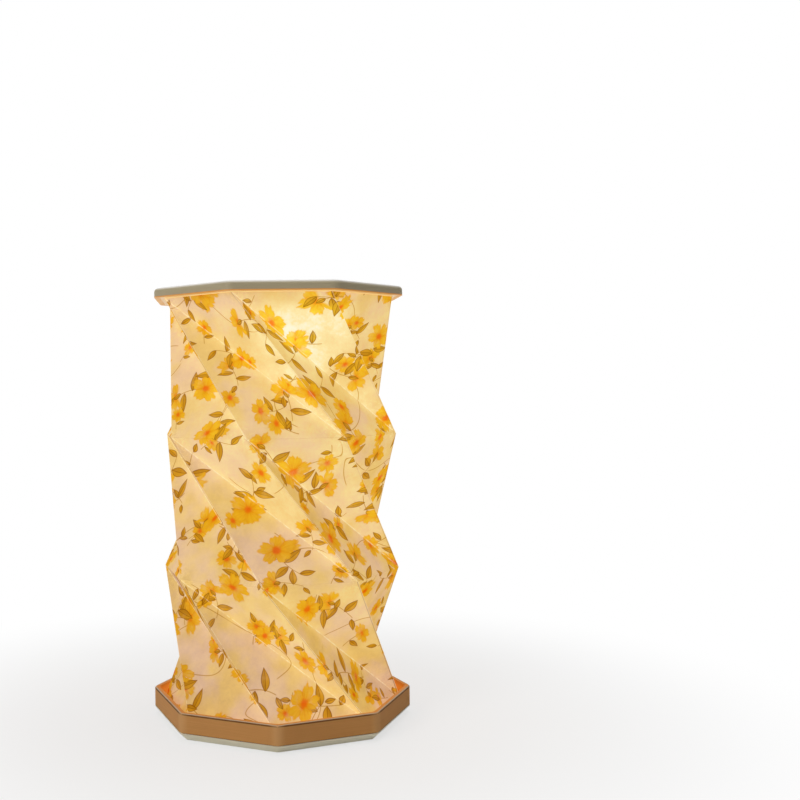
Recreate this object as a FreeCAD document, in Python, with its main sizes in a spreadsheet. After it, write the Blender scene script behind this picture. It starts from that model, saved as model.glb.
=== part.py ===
import FreeCAD, Part
import math
import os
import Sketcher

# Folding night lamp: a printed paper shade of three twist-folded tiers between an octagonal lid and tray.
# The origin is the centre of the underside, +Z is up, -Y is the front, and all lengths are millimetres.

SIDES = 8
HALF_STEP = 180.0 / SIDES
FASTENERS = 4
CHIPS = 12
BOARD_PINS = 4
PAPER_TIERS = ("shade_lower_tier", "shade_middle_tier", "shade_upper_tier")

# Driving dimensions, each set by itself
SIZES = {
    "across_flats": 125.0,
    "corner_radius": 6.0,
    "base_plate_thickness": 4.0,
    "base_edge_height": 0.6,
    "seam_chamfer": 0.3,
    "rim_height": 9.6,
    "rim_wall": 2.5,
    "rim_chamfer": 0.5,
    "ledge_width": 3.0,
    "ballast_thickness": 1.5,
    "tray_floor_thickness": 1.5,
    "seat_clearance": 0.15,
    "pad_across_flats": 112.0,
    "pad_thickness": 1.0,
    "pad_recess": 0.5,
    "shade_gap": 2.7,
    "paper_thickness": 0.4,
    "tier_height": 69.6,
    "open_twist": 51.0,
    "hem_width": 8.0,
    "clamp_frame_width": 8.0,
    "clamp_frame_thickness": 1.6,
    "paper_clearance": 0.3,
    "lid_thickness": 4.8,
    "lid_edge_radius": 2.2,
    "lid_wall": 2.5,
    "lid_top_wall": 1.1,
    "panel_thickness": 0.7,
    "screw_radius": 1.0,
    "screw_head_radius": 1.9,
    "screw_head_height": 1.0,
    "screw_clearance": 0.15,
    "thread_clearance": 0.02,
    "magnet_length": 10.0,
    "magnet_thickness": 1.5,
    "magnet_offset": 15.0,
    "magnet_clearance": 0.05,
    "magnet_skin": 0.8,
    "lid_magnet_height": 2.4,
    "button_diameter": 22.5,
    "button_proud": 0.3,
    "button_edge": 0.4,
    "button_clearance": 0.08,
    "flange_width": 1.0,
    "flange_thickness": 0.8,
    "button_travel": 0.5,
    "switch_side": 6.0,
    "switch_height": 1.6,
    "switch_floor": 0.4,
    "plunger_radius": 1.6,
    "plunger_clearance": 0.05,
    "plunger_reserve": 0.1,
    "housing_radius": 19.5,
    "housing_depth": 4.0,
    "housing_wall": 1.3,
    "housing_web": 1.2,
    "web_width": 2.7,
    "board_thickness": 0.8,
    "board_clearance": 0.2,
    "board_pin_side": 0.6,
    "board_pin_circle": 5.0,
    "chip_length": 3.5,
    "chip_width": 2.8,
    "chip_height": 0.7,
    "chip_circle": 12.0,
    "diffuser_thickness": 1.0,
    "diffuser_edge": 0.6,
    "battery_length": 40.0,
    "battery_width": 30.0,
    "battery_thickness": 2.4,
    "battery_corner": 2.0,
    "battery_gap": 5.0,
    "lead_radius": 0.4,
    "lead_pitch": 2.5,
    "lead_lift": 0.05,
    "lead_socket_depth": 4.0,
    "lead_socket_width": 5.5,
    "lead_socket_height": 2.0,
    "lead_socket_inset": 1.5,
    "inlet_width": 8.8,
    "inlet_height": 2.9,
    "inlet_depth": 7.3,
    "inlet_shell": 0.25,
    "inlet_back": 1.1,
    "inlet_setback": 0.3,
    "inlet_clearance": 0.1,
    "tongue_width": 6.7,
    "tongue_thickness": 0.7,
    "tongue_length": 4.5,
    "charge_board_width": 16.0,
    "charge_board_length": 18.0,
    "charge_board_overlap": 4.0,
    "nameplate_length": 34.6,
    "nameplate_width": 6.6,
    "nameplate_thickness": 0.8,
    "nameplate_recess": 0.4,
    "nameplate_edge_gap": 14.8,
    "nameplate_clearance": 0.05,
    "nameplate_pin_pitch": 28.6,
    "nameplate_pin_radius": 0.65,
    "nameplate_pin_proud": 0.1,
}

# With no twist the lid's flats would stand this far round from the axes; the open shade turns it back
LID_START_TURN = 7 * HALF_STEP

# Levels, fits and turns that follow from the driving dimensions
FITS = {
    "plate_level": "Sizes.pad_thickness - Sizes.pad_recess",
    "plate_taper": "Sizes.base_plate_thickness - Sizes.base_edge_height",
    "rim_level": "Sizes.pad_thickness - Sizes.pad_recess + Sizes.base_plate_thickness",
    "floor_level": "rim_level + Sizes.ballast_thickness",
    "hem_level": "floor_level + Sizes.tray_floor_thickness",
    "shade_level": "hem_level + Sizes.paper_thickness",
    "shade_top": f"shade_level + {len(PAPER_TIERS)} * Sizes.tier_height",
    "lid_level": "shade_top + Sizes.paper_thickness",
    "panel_top": "lid_level + Sizes.panel_thickness",
    "lid_roof": "lid_level + Sizes.lid_thickness - Sizes.lid_top_wall",
    "lid_top": "lid_level + Sizes.lid_thickness",
    "tray_across": "Sizes.across_flats - 2 * Sizes.rim_wall",
    "ledge_across": "tray_across - 2 * Sizes.ledge_width",
    "shade_across": "tray_across - 2 * Sizes.shade_gap",
    "shade_radius": f"shade_across / 2 / cos({HALF_STEP} deg)",
    "facet_reach": f"cos({HALF_STEP} deg) - cos(Sizes.open_twist * 1 deg + {HALF_STEP} deg)",
    "facet_lean": "shade_radius * facet_reach / Sizes.tier_height",
    "paper_inset": "Sizes.paper_thickness * sqrt(1 + facet_lean ^ 2)",
    "frame_inset": "paper_inset + facet_lean * Sizes.clamp_frame_thickness + Sizes.paper_clearance",
    "frame_across": "shade_across - 2 * frame_inset",
    "screw_circle": "frame_across / 2 - Sizes.clamp_frame_width / 2",
    "screw_hole": "Sizes.screw_radius + Sizes.screw_clearance",
    "thread_hole": "Sizes.screw_radius + Sizes.thread_clearance",
    "head_hole": "Sizes.screw_head_radius + Sizes.screw_clearance",
    "cavity_across": "Sizes.across_flats - 2 * Sizes.lid_wall",
    "rim_middle": "(Sizes.across_flats - Sizes.rim_wall) / 2",
    "rim_slot_reach": "rim_middle - Sizes.magnet_thickness / 2 - Sizes.magnet_clearance",
    "lid_slot_reach": "cavity_across / 2 - Sizes.magnet_clearance",
    "lid_turn": f"{LID_START_TURN} - {len(PAPER_TIERS)} * Sizes.open_twist",
    "lid_corner_turn": f"lid_turn + {HALF_STEP}",
    "housing_bore": "Sizes.housing_radius - Sizes.housing_wall",
    "board_radius": "housing_bore - Sizes.board_clearance",
    "web_bore": "housing_bore - Sizes.web_width",
    "board_top": "lid_level",
    "web_top": "board_top - Sizes.board_thickness",
    "web_bottom": "web_top - Sizes.housing_web",
    "light_board_bottom": "web_bottom - Sizes.board_thickness",
    "housing_bottom": "lid_level - Sizes.housing_depth",
    "button_radius": "Sizes.button_diameter / 2",
    "flange_level": "lid_roof - Sizes.flange_thickness",
    "plunger_tip": "board_top + Sizes.switch_floor + Sizes.button_travel + Sizes.plunger_reserve",
    "lead_level": "panel_top + Sizes.lead_lift + Sizes.lead_radius",
    "socket_face": "board_radius - Sizes.lead_socket_inset",
    "battery_start": "Sizes.housing_radius + Sizes.battery_gap",
    "inlet_front": "Sizes.across_flats / 2 - Sizes.inlet_setback",
    "inlet_rear": "inlet_front - Sizes.inlet_depth",
    "inlet_level": "panel_top + Sizes.inlet_height / 2",
    "charge_board_end": "inlet_rear + Sizes.charge_board_overlap",
    "charge_board_start": "charge_board_end - Sizes.charge_board_length",
    "nameplate_place": "Sizes.across_flats / 2 - Sizes.nameplate_edge_gap - Sizes.nameplate_width / 2",
    "nameplate_level": "lid_top - Sizes.nameplate_recess",
    "nameplate_top": "nameplate_level + Sizes.nameplate_thickness",
    "nameplate_pin_hole": "Sizes.nameplate_pin_radius + Sizes.nameplate_clearance",
}

Z_AXIS = FreeCAD.Vector(0, 0, 1)
TOLERANCE = 1e-4
doc = FreeCAD.newDocument("night_lamp")
subparts = []


def fill_sheet(name, entries):
    sheet = doc.addObject("Spreadsheet::Sheet", name)
    for row, (alias, text) in enumerate(entries.items(), start=1):
        sheet.set(f"A{row}", alias)
        sheet.set(f"B{row}", text)
        sheet.setAlias(f"B{row}", alias)
    doc.recompute()
    return sheet


fill_sheet("Sizes", {alias: str(value) for alias, value in SIZES.items()})
fits = fill_sheet("Fits", {alias: f"={formula}" for alias, formula in FITS.items()})


# Helpers for document objects


def bind(thing, **expressions):
    for name, expression in expressions.items():
        thing.setExpression(name, expression)


def place(thing, x="0", y="0", level="0", turn="0"):
    thing.setExpression("Placement.Base.x", x)
    thing.setExpression("Placement.Base.y", y)
    thing.setExpression("Placement.Base.z", level)
    thing.setExpression("Placement.Rotation.Angle", turn)


def finish_subpart(thing, label):
    thing.Label = label
    subparts.append(thing)
    doc.recompute()
    return thing


def new_body(label, level, turn="0"):
    body = doc.addObject("PartDesign::Body", label)
    place(body, level=level, turn=turn)
    return body


def origin_item(body, role):
    return next(item for item in body.Origin.OriginFeatures if item.Role == role)


def octagon(body, kind, across, height, level="0", turn="0"):
    feature = body.newObject(f"PartDesign::{kind}Prism", "octagon")
    feature.Polygon = SIDES
    bind(feature, Circumradius=f"({across}) / 2 / cos({HALF_STEP} deg)", Height=height)
    place(feature, level=level, turn=turn)
    doc.recompute()
    return feature


def round_bar(body, kind, radius, height, x="0", y="0", level="0"):
    feature = body.newObject(f"PartDesign::{kind}Cylinder", "round")
    bind(feature, Radius=radius, Height=height)
    place(feature, x, y, level)
    doc.recompute()
    return feature


def block(body, kind, size_x, size_y, height, x="0", y="0", level="0"):
    feature = body.newObject(f"PartDesign::{kind}Box", "block")
    bind(feature, Length=size_x, Width=size_y, Height=height)
    place(feature, f"{x} - ({size_x}) / 2", f"{y} - ({size_y}) / 2", level)
    doc.recompute()
    return feature


def ring_of(body, feature, count=FASTENERS):
    pattern = body.newObject("PartDesign::PolarPattern", "ring")
    pattern.Originals = [feature]
    pattern.Axis = (origin_item(body, "Z_Axis"), [""])
    pattern.Angle = 360
    pattern.Occurrences = count
    body.Tip = pattern
    doc.recompute()
    return pattern


def upright(edge):
    start = edge.Vertexes[0].Point
    end = edge.Vertexes[-1].Point
    return math.hypot(end.x - start.x, end.y - start.y) < TOLERANCE


def at_height(height):
    return lambda edge: max(abs(edge.BoundBox.ZMin - height), abs(edge.BoundBox.ZMax - height)) < TOLERANCE


def inner_only(chosen, reach):
    def test(edge):
        middle = edge.CenterOfMass
        return chosen(edge) and math.hypot(middle.x, middle.y) < reach
    return test


def dress(body, kind, chosen, size):
    base = body.Tip
    names = [f"Edge{number}" for number, edge in enumerate(base.Shape.Edges, start=1) if chosen(edge)]
    feature = body.newObject(f"PartDesign::{kind}", kind.lower())
    feature.Base = (base, names)
    feature.setExpression("Radius" if kind == "Fillet" else "Size", size)
    doc.recompute()
    return feature


def slot_sketch(body, plane, length, width, offset_y="0", offset_z="0"):
    sketch = body.newObject("Sketcher::SketchObject", "slot")
    sketch.AttachmentSupport = [(origin_item(body, plane), "")]
    sketch.MapMode = "FlatFace"
    sketch.setExpression("AttachmentOffset.Base.y", offset_y)
    sketch.setExpression("AttachmentOffset.Base.z", offset_z)
    half, end = 2.0, 1.0
    right = FreeCAD.Vector(half, 0, 0)
    left = FreeCAD.Vector(-half, 0, 0)
    rise = FreeCAD.Vector(0, end, 0)
    quarter = math.pi / 2
    sketch.addGeometry(Part.LineSegment(left + rise, right + rise))
    sketch.addGeometry(Part.ArcOfCircle(Part.Circle(right, Z_AXIS, end), -quarter, quarter))
    sketch.addGeometry(Part.LineSegment(right - rise, left - rise))
    sketch.addGeometry(Part.ArcOfCircle(Part.Circle(left, Z_AXIS, end), quarter, 3 * quarter))
    top, right_end, bottom, left_end = range(4)
    first, second, centre = 1, 2, 3
    origin_point = (-1, 1)
    for link in ((top, second, right_end, second), (right_end, first, bottom, first),
                 (bottom, second, left_end, second), (left_end, first, top, first)):
        sketch.addConstraint(Sketcher.Constraint("Tangent", *link))
    sketch.addConstraint(Sketcher.Constraint("Horizontal", top))
    sketch.addConstraint(Sketcher.Constraint("Equal", right_end, left_end))
    sketch.addConstraint(Sketcher.Constraint("Symmetric", right_end, centre, left_end, centre, *origin_point))
    centres = (left_end, centre, right_end, centre)
    span = sketch.addConstraint(Sketcher.Constraint("DistanceX", *centres, 2 * half))
    radius = sketch.addConstraint(Sketcher.Constraint("Radius", right_end, end))
    sketch.renameConstraint(span, "span")
    sketch.renameConstraint(radius, "end_radius")
    sketch.setExpression("Constraints.span", f"({length}) - ({width})")
    sketch.setExpression("Constraints.end_radius", f"({width}) / 2")
    doc.recompute()
    return sketch


def pad(body, sketch, length):
    feature = body.newObject("PartDesign::Pad", "pad")
    feature.Profile = sketch
    bind(feature, Length=length)
    doc.recompute()
    return feature


def pocket(body, sketch, length, reverse=False):
    before = body.Tip.Shape.Volume
    feature = body.newObject("PartDesign::Pocket", "pocket")
    feature.Profile = sketch
    feature.Reversed = reverse
    bind(feature, Length=length)
    doc.recompute()
    if feature.Shape.Volume >= before:
        raise RuntimeError(f"pocket in {body.Name} cuts nothing")
    return feature


def solid(kind, name, **sizes):
    thing = doc.addObject(f"Part::{kind}", name)
    bind(thing, **sizes)
    return thing


def group(label, members, level="0", turn="0"):
    compound = doc.addObject("Part::Compound", label)
    compound.Links = members
    place(compound, level=level, turn=turn)
    return finish_subpart(compound, label)


def along(radius, angle, offset="0"):
    x = f"({radius}) * cos({angle} deg) - ({offset}) * sin({angle} deg)"
    y = f"({radius}) * sin({angle} deg) + ({offset}) * cos({angle} deg)"
    return x, y


# Plates and rings of the case


def octagon_plate(label, across, thickness, level, corner, turn="0"):
    body = new_body(label, level, turn)
    octagon(body, "Additive", across, thickness)
    dress(body, "Fillet", upright, corner)
    return body


def make_ring(label, across, width, thickness, level, turn="0"):
    body = new_body(label, level, turn)
    octagon(body, "Additive", across, thickness)
    octagon(body, "Subtractive", f"{across} - 2 * {width}", thickness)
    finish_subpart(body, label)


def screw_holes(body, radius, depth):
    x, y = along("Fits.screw_circle", HALF_STEP)
    ring_of(body, round_bar(body, "Subtractive", radius, depth, x, y))


def make_base_plate():
    body = new_body("base_plate", "Fits.plate_level")
    octagon(body, "Additive", "Sizes.across_flats", "Sizes.base_plate_thickness")
    dress(body, "Fillet", upright, "Sizes.corner_radius")
    dress(body, "Chamfer", at_height(0.0), "Fits.plate_taper")
    dress(body, "Chamfer", at_height(SIZES["base_plate_thickness"]), "Sizes.seam_chamfer")
    octagon(body, "Subtractive", "Sizes.pad_across_flats + 2 * Sizes.seat_clearance", "Sizes.pad_recess")
    screw_holes(body, "Fits.screw_hole", "Sizes.base_plate_thickness")
    screw_holes(body, "Fits.head_hole", "Sizes.pad_recess + Sizes.screw_head_height + Sizes.screw_clearance")
    finish_subpart(body, "base_plate")


def make_base_pad():
    body = new_body("base_pad", "0")
    octagon(body, "Additive", "Sizes.pad_across_flats", "Sizes.pad_thickness")
    finish_subpart(body, "base_pad")


def magnet_places(turns):
    return [(turn, sign) for turn in turns for sign in ("-", "")]


RIM_MAGNET_TURNS = (HALF_STEP, HALF_STEP + 180)
LID_MAGNET_TURNS = (6 * HALF_STEP, 6 * HALF_STEP + 180)
MAGNET_SLOT = "Sizes.magnet_thickness + 2 * Sizes.magnet_clearance"
MAGNET_SLOT_LENGTH = "Sizes.magnet_length + 2 * Sizes.magnet_clearance"


def magnet_corner(reach, length, turn, sign):
    return along(reach, turn, f"{sign}Sizes.magnet_offset - ({length}) / 2")


def cut_magnet_slots(body, reach, height, turns, level="0"):
    for turn, sign in magnet_places(turns):
        x, y = magnet_corner(reach, MAGNET_SLOT_LENGTH, turn, sign)
        slot = body.newObject("PartDesign::SubtractiveBox", "magnet_slot")
        bind(slot, Length=MAGNET_SLOT, Width=MAGNET_SLOT_LENGTH, Height=height)
        place(slot, x, y, level, str(turn))
        doc.recompute()


def make_magnets(label, reach, height, level, turns, group_turn="0"):
    bars = []
    for turn, sign in magnet_places(turns):
        bar = solid("Box", "magnet", Length="Sizes.magnet_thickness", Width="Sizes.magnet_length",
                    Height=height)
        x, y = magnet_corner(f"{reach} + Sizes.magnet_clearance", "Sizes.magnet_length", turn, sign)
        place(bar, x, y, "0", str(turn))
        bars.append(bar)
    group(label, bars, level, group_turn)


def make_tray_rim():
    body = new_body("tray_rim", "Fits.rim_level")
    octagon(body, "Additive", "Sizes.across_flats", "Sizes.rim_height")
    dress(body, "Fillet", upright, "Sizes.corner_radius")
    dress(body, "Chamfer", at_height(SIZES["rim_height"]), "Sizes.rim_chamfer")
    octagon(body, "Subtractive", "Fits.ledge_across", "Sizes.rim_height")
    octagon(body, "Subtractive", "Fits.tray_across", "Sizes.rim_height", "Sizes.ballast_thickness")
    corner_reach = fits.tray_across / 2 / math.cos(math.radians(HALF_STEP))
    well_corner = inner_only(upright, corner_reach + TOLERANCE)
    dress(body, "Fillet", well_corner, "Sizes.corner_radius - Sizes.rim_wall")
    cut_magnet_slots(body, "Fits.rim_slot_reach", "Sizes.rim_height - Sizes.magnet_skin", RIM_MAGNET_TURNS)
    finish_subpart(body, "tray_rim")


def make_tray_inside():
    corner = "Sizes.corner_radius - Sizes.rim_wall"
    floor = octagon_plate("tray_floor", "Fits.tray_across - 2 * Sizes.seat_clearance",
                          "Sizes.tray_floor_thickness", "Fits.floor_level", corner)
    screw_holes(floor, "Fits.thread_hole", "Sizes.tray_floor_thickness")
    finish_subpart(floor, "tray_floor")
    ballast = octagon_plate("ballast_plate", "Fits.ledge_across - 2 * Sizes.seat_clearance",
                            "Sizes.ballast_thickness", "Fits.rim_level", corner)
    screw_holes(ballast, "Fits.screw_hole", "Sizes.ballast_thickness")
    finish_subpart(ballast, "ballast_plate")


def make_hems_and_frames():
    hem = ("Fits.shade_across", "Sizes.hem_width", "Sizes.paper_thickness")
    make_ring("lower_hem", *hem, "Fits.hem_level")
    make_ring("upper_hem", *hem, "Fits.shade_top", "Fits.lid_corner_turn")
    frame = ("Fits.frame_across", "Sizes.clamp_frame_width", "Sizes.clamp_frame_thickness")
    make_ring("lower_clamp_frame", *frame, "Fits.shade_level")
    make_ring("upper_clamp_frame", *frame, "Fits.shade_top - Sizes.clamp_frame_thickness",
              "Fits.lid_corner_turn")


def make_base_screws():
    head_level = "Fits.plate_level + Sizes.pad_recess + Sizes.screw_clearance"
    shank_level = f"{head_level} + Sizes.screw_head_height"
    screws = []
    for number in range(FASTENERS):
        x, y = along("Fits.screw_circle", HALF_STEP + 360 * number / FASTENERS)
        head = solid("Cylinder", "screw_head", Radius="Sizes.screw_head_radius",
                     Height="Sizes.screw_head_height")
        place(head, x, y, head_level)
        shank = solid("Cylinder", "screw_shank", Radius="Sizes.screw_radius",
                      Height=f"Fits.hem_level - Sizes.screw_clearance - ({shank_level})")
        place(shank, x, y, shank_level)
        screw = doc.addObject("Part::Fuse", "screw")
        screw.Base = head
        screw.Tool = shank
        screws.append(screw)
    group("base_screws", screws)


# Paper shade: each tier is a twisted belt of mountain and valley folds between two octagons


def level_points(radius, height, turn):
    angles = [math.radians(turn + 2 * HALF_STEP * side) for side in range(SIDES)]
    return [FreeCAD.Vector(radius * math.cos(angle), radius * math.sin(angle), height) for angle in angles]


def triangle(*corners):
    return Part.Face(Part.makePolygon([*corners, corners[0]]))


def folded_belt(lower, upper):
    facets = []
    for side in range(SIDES):
        following = (side + 1) % SIDES
        facets.append(triangle(lower[side], lower[following], upper[side]))
        facets.append(triangle(upper[side], lower[following], upper[following]))
    return facets


def edge_ring(outer, inner):
    rims = [Part.makePolygon([*points, points[0]]) for points in (outer, inner)]
    return Part.Face(rims, "Part::FaceMakerBullseye")


def make_tier(number, label):
    outer_radius = fits.shade_radius
    inner_radius = outer_radius - fits.paper_inset / math.cos(math.radians(HALF_STEP))
    sizes = doc.getObject("Sizes")
    start_turn = -number * sizes.open_twist
    end_turn = start_turn - sizes.open_twist
    outer_low = level_points(outer_radius, 0, start_turn)
    inner_low = level_points(inner_radius, 0, start_turn)
    outer_high = level_points(outer_radius, sizes.tier_height, end_turn)
    inner_high = level_points(inner_radius, sizes.tier_height, end_turn)
    faces = folded_belt(outer_low, outer_high) + folded_belt(inner_low, inner_high)
    faces += [edge_ring(outer_low, inner_low), edge_ring(outer_high, inner_high)]
    shell = Part.makeShell(faces)
    tier = doc.addObject("Part::Feature", label)
    paper = Part.makeSolid(shell)
    if paper.Volume < 0:
        paper.reverse()
    tier.Shape = paper
    place(tier, level=f"Fits.shade_level + {number} * Sizes.tier_height")
    finish_subpart(tier, label)


# Lid shell with its bottom panel


def make_lid_shell():
    body = new_body("lid_shell", "Fits.lid_level", "Fits.lid_turn")
    octagon(body, "Additive", "Sizes.across_flats", "Sizes.lid_thickness", turn=str(HALF_STEP))
    dress(body, "Fillet", upright, "Sizes.corner_radius")
    dress(body, "Fillet", at_height(SIZES["lid_thickness"]), "Sizes.lid_edge_radius")
    cavity_depth = "Sizes.lid_thickness - Sizes.lid_top_wall"
    octagon(body, "Subtractive", "Fits.cavity_across", cavity_depth, turn=str(HALF_STEP))
    cavity_reach = fits.cavity_across / 2 / math.cos(math.radians(HALF_STEP))
    cavity_corner = inner_only(upright, cavity_reach + TOLERANCE)
    dress(body, "Fillet", cavity_corner, "Sizes.corner_radius - Sizes.lid_wall")
    round_bar(body, "Subtractive", "Fits.button_radius + Sizes.button_clearance", "Sizes.lid_thickness")
    seat = slot_sketch(body, "XY_Plane", "Sizes.nameplate_length + 2 * Sizes.nameplate_clearance",
                       "Sizes.nameplate_width + 2 * Sizes.nameplate_clearance",
                       "-Fits.nameplate_place", "Sizes.lid_thickness")
    pocket(body, seat, "Sizes.nameplate_recess")
    for sign in ("-", ""):
        round_bar(body, "Subtractive", "Fits.nameplate_pin_hole", "Sizes.lid_thickness",
                  f"{sign}Sizes.nameplate_pin_pitch / 2", "-Fits.nameplate_place")
    mouth = slot_sketch(body, "XZ_Plane", "Sizes.inlet_width + 2 * Sizes.inlet_clearance",
                        "Sizes.inlet_height + 2 * Sizes.inlet_clearance",
                        "Sizes.panel_thickness + Sizes.inlet_height / 2")
    pocket(body, mouth, "Sizes.across_flats")
    cut_magnet_slots(body, "Fits.lid_slot_reach", "Sizes.lid_magnet_height", LID_MAGNET_TURNS,
                     "Sizes.panel_thickness")
    finish_subpart(body, "lid_shell")


def make_lid_panel():
    panel = octagon_plate("lid_bottom_panel", "Fits.cavity_across - 2 * Sizes.seat_clearance",
                          "Sizes.panel_thickness", "Fits.lid_level", "Sizes.corner_radius - Sizes.lid_wall",
                          "Fits.lid_corner_turn")
    round_bar(panel, "Subtractive", "Fits.housing_bore", "Sizes.panel_thickness")
    finish_subpart(panel, "lid_bottom_panel")


# Light engine under the lid


def make_light_engine():
    housing = new_body("led_housing", "Fits.housing_bottom", "Fits.lid_turn")
    round_bar(housing, "Additive", "Sizes.housing_radius", "Sizes.housing_depth")
    round_bar(housing, "Subtractive", "Fits.web_bore", "Sizes.housing_depth")
    round_bar(housing, "Subtractive", "Fits.housing_bore", "Fits.web_bottom - Fits.housing_bottom")
    round_bar(housing, "Subtractive", "Fits.housing_bore", "Sizes.board_thickness",
              level="Sizes.housing_depth - Sizes.board_thickness")
    finish_subpart(housing, "led_housing")
    for label, level in (("control_board", "Fits.web_top"), ("led_board", "Fits.light_board_bottom")):
        board = solid("Cylinder", label, Radius="Fits.board_radius", Height="Sizes.board_thickness")
        place(board, level=level)
        finish_subpart(board, label)
    pins = []
    for number in range(BOARD_PINS):
        pin = solid("Box", "pin", Length="Sizes.board_pin_side", Width="Sizes.board_pin_side",
                    Height="Sizes.housing_web")
        angle = 360 * number / BOARD_PINS
        x, y = along("Sizes.board_pin_circle", angle)
        place(pin, x, y, "0", str(angle))
        pins.append(pin)
    group("board_pins", pins, "Fits.web_bottom", "Fits.lid_turn")
    chips = []
    for number in range(CHIPS):
        chip = solid("Box", "chip", Length="Sizes.chip_length", Width="Sizes.chip_width",
                     Height="Sizes.chip_height")
        angle = 360 * number / CHIPS
        x, y = along("Sizes.chip_circle - Sizes.chip_length / 2", angle, "-Sizes.chip_width / 2")
        place(chip, x, y, "0", str(angle))
        chips.append(chip)
    group("led_chips", chips, "Fits.light_board_bottom - Sizes.chip_height", "Fits.lid_turn")
    diffuser = new_body("led_diffuser", "Fits.housing_bottom - Sizes.diffuser_thickness")
    round_bar(diffuser, "Additive", "Sizes.housing_radius", "Sizes.diffuser_thickness")
    dress(diffuser, "Chamfer", at_height(0.0), "Sizes.diffuser_edge")
    finish_subpart(diffuser, "led_diffuser")


# Push button over its switch


def make_button():
    button = new_body("power_button", "Fits.flange_level", "Fits.lid_turn")
    round_bar(button, "Additive", "Fits.button_radius + Sizes.flange_width", "Sizes.flange_thickness")
    cap_height = "Sizes.lid_top_wall + Sizes.button_proud"
    round_bar(button, "Additive", "Fits.button_radius", cap_height, level="Sizes.flange_thickness")
    cap_top = fits.lid_top + SIZES["button_proud"] - fits.flange_level
    dress(button, "Chamfer", at_height(cap_top), "Sizes.button_edge")
    finish_subpart(button, "power_button")
    plunger = solid("Cylinder", "switch_plunger", Radius="Sizes.plunger_radius",
                    Height="Fits.flange_level - Fits.plunger_tip")
    place(plunger, level="Fits.plunger_tip")
    finish_subpart(plunger, "switch_plunger")
    switch = new_body("tact_switch", "Fits.board_top", "Fits.lid_turn")
    block(switch, "Additive", "Sizes.switch_side", "Sizes.switch_side", "Sizes.switch_height")
    round_bar(switch, "Subtractive", "Sizes.plunger_radius + Sizes.plunger_clearance", "Sizes.switch_height",
              level="Sizes.switch_floor")
    finish_subpart(switch, "tact_switch")


# Battery, charging inlet and their leads on the bottom panel


def make_battery():
    battery = new_body("battery_cell", "Fits.panel_top", "Fits.lid_turn")
    block(battery, "Additive", "Sizes.battery_width", "Sizes.battery_length", "Sizes.battery_thickness",
          "Fits.battery_start + Sizes.battery_width / 2")
    dress(battery, "Fillet", upright, "Sizes.battery_corner")
    finish_subpart(battery, "battery_cell")


def make_inlet():
    inlet = new_body("usb_socket", "Fits.inlet_level", "Fits.lid_turn")
    outline = slot_sketch(inlet, "XZ_Plane", "Sizes.inlet_width", "Sizes.inlet_height",
                          offset_z="-Fits.inlet_front")
    pad(inlet, outline, "Sizes.inlet_depth")
    bore = slot_sketch(inlet, "XZ_Plane", "Sizes.inlet_width - 2 * Sizes.inlet_shell",
                       "Sizes.inlet_height - 2 * Sizes.inlet_shell", offset_z="-Fits.inlet_front")
    pocket(inlet, bore, "Sizes.inlet_depth - Sizes.inlet_back", reverse=True)
    finish_subpart(inlet, "usb_socket")
    tongue = new_body("usb_tongue", "Fits.inlet_level", "Fits.lid_turn")
    tongue_middle = "Fits.inlet_rear + Sizes.inlet_back + Sizes.tongue_length / 2"
    block(tongue, "Additive", "Sizes.tongue_width", "Sizes.tongue_length", "Sizes.tongue_thickness",
          y=tongue_middle, level="-Sizes.tongue_thickness / 2")
    finish_subpart(tongue, "usb_tongue")
    board = new_body("charge_board", "Fits.panel_top", "Fits.lid_turn")
    block(board, "Additive", "Sizes.charge_board_width", "Sizes.charge_board_length", "Sizes.board_thickness",
          y="Fits.charge_board_end - Sizes.charge_board_length / 2")
    notch_length = "Sizes.charge_board_overlap + Sizes.inlet_clearance"
    block(board, "Subtractive", "Sizes.inlet_width + 2 * Sizes.inlet_clearance", notch_length,
          "Sizes.board_thickness", y=f"Fits.charge_board_end - ({notch_length}) / 2")
    finish_subpart(board, "charge_board")


def make_leads():
    runs = (("battery_leads", 0, "Fits.battery_start"), ("charge_leads", 90, "Fits.charge_board_start"))
    sockets = []
    for label, turn, end in runs:
        leads = []
        for sign in ("-", ""):
            lead = solid("Cylinder", "lead", Radius="Sizes.lead_radius", Height=f"{end} - Fits.socket_face")
            lead.Placement = FreeCAD.Placement(FreeCAD.Vector(), FreeCAD.Rotation(turn, 90, 0))
            x, y = along("Fits.socket_face", turn, f"{sign}Sizes.lead_pitch / 2")
            lead.setExpression("Placement.Base.x", x)
            lead.setExpression("Placement.Base.y", y)
            leads.append(lead)
        group(label, leads, "Fits.lead_level", "Fits.lid_turn")
        socket = solid("Box", "lead_socket", Length="Sizes.lead_socket_depth",
                       Width="Sizes.lead_socket_width", Height="Sizes.lead_socket_height")
        x, y = along("Fits.socket_face - Sizes.lead_socket_depth", turn, "-Sizes.lead_socket_width / 2")
        place(socket, x, y, "0", str(turn))
        sockets.append(socket)
    group("lead_sockets", sockets, "Fits.board_top", "Fits.lid_turn")


# Bare plate on the lid


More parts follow.
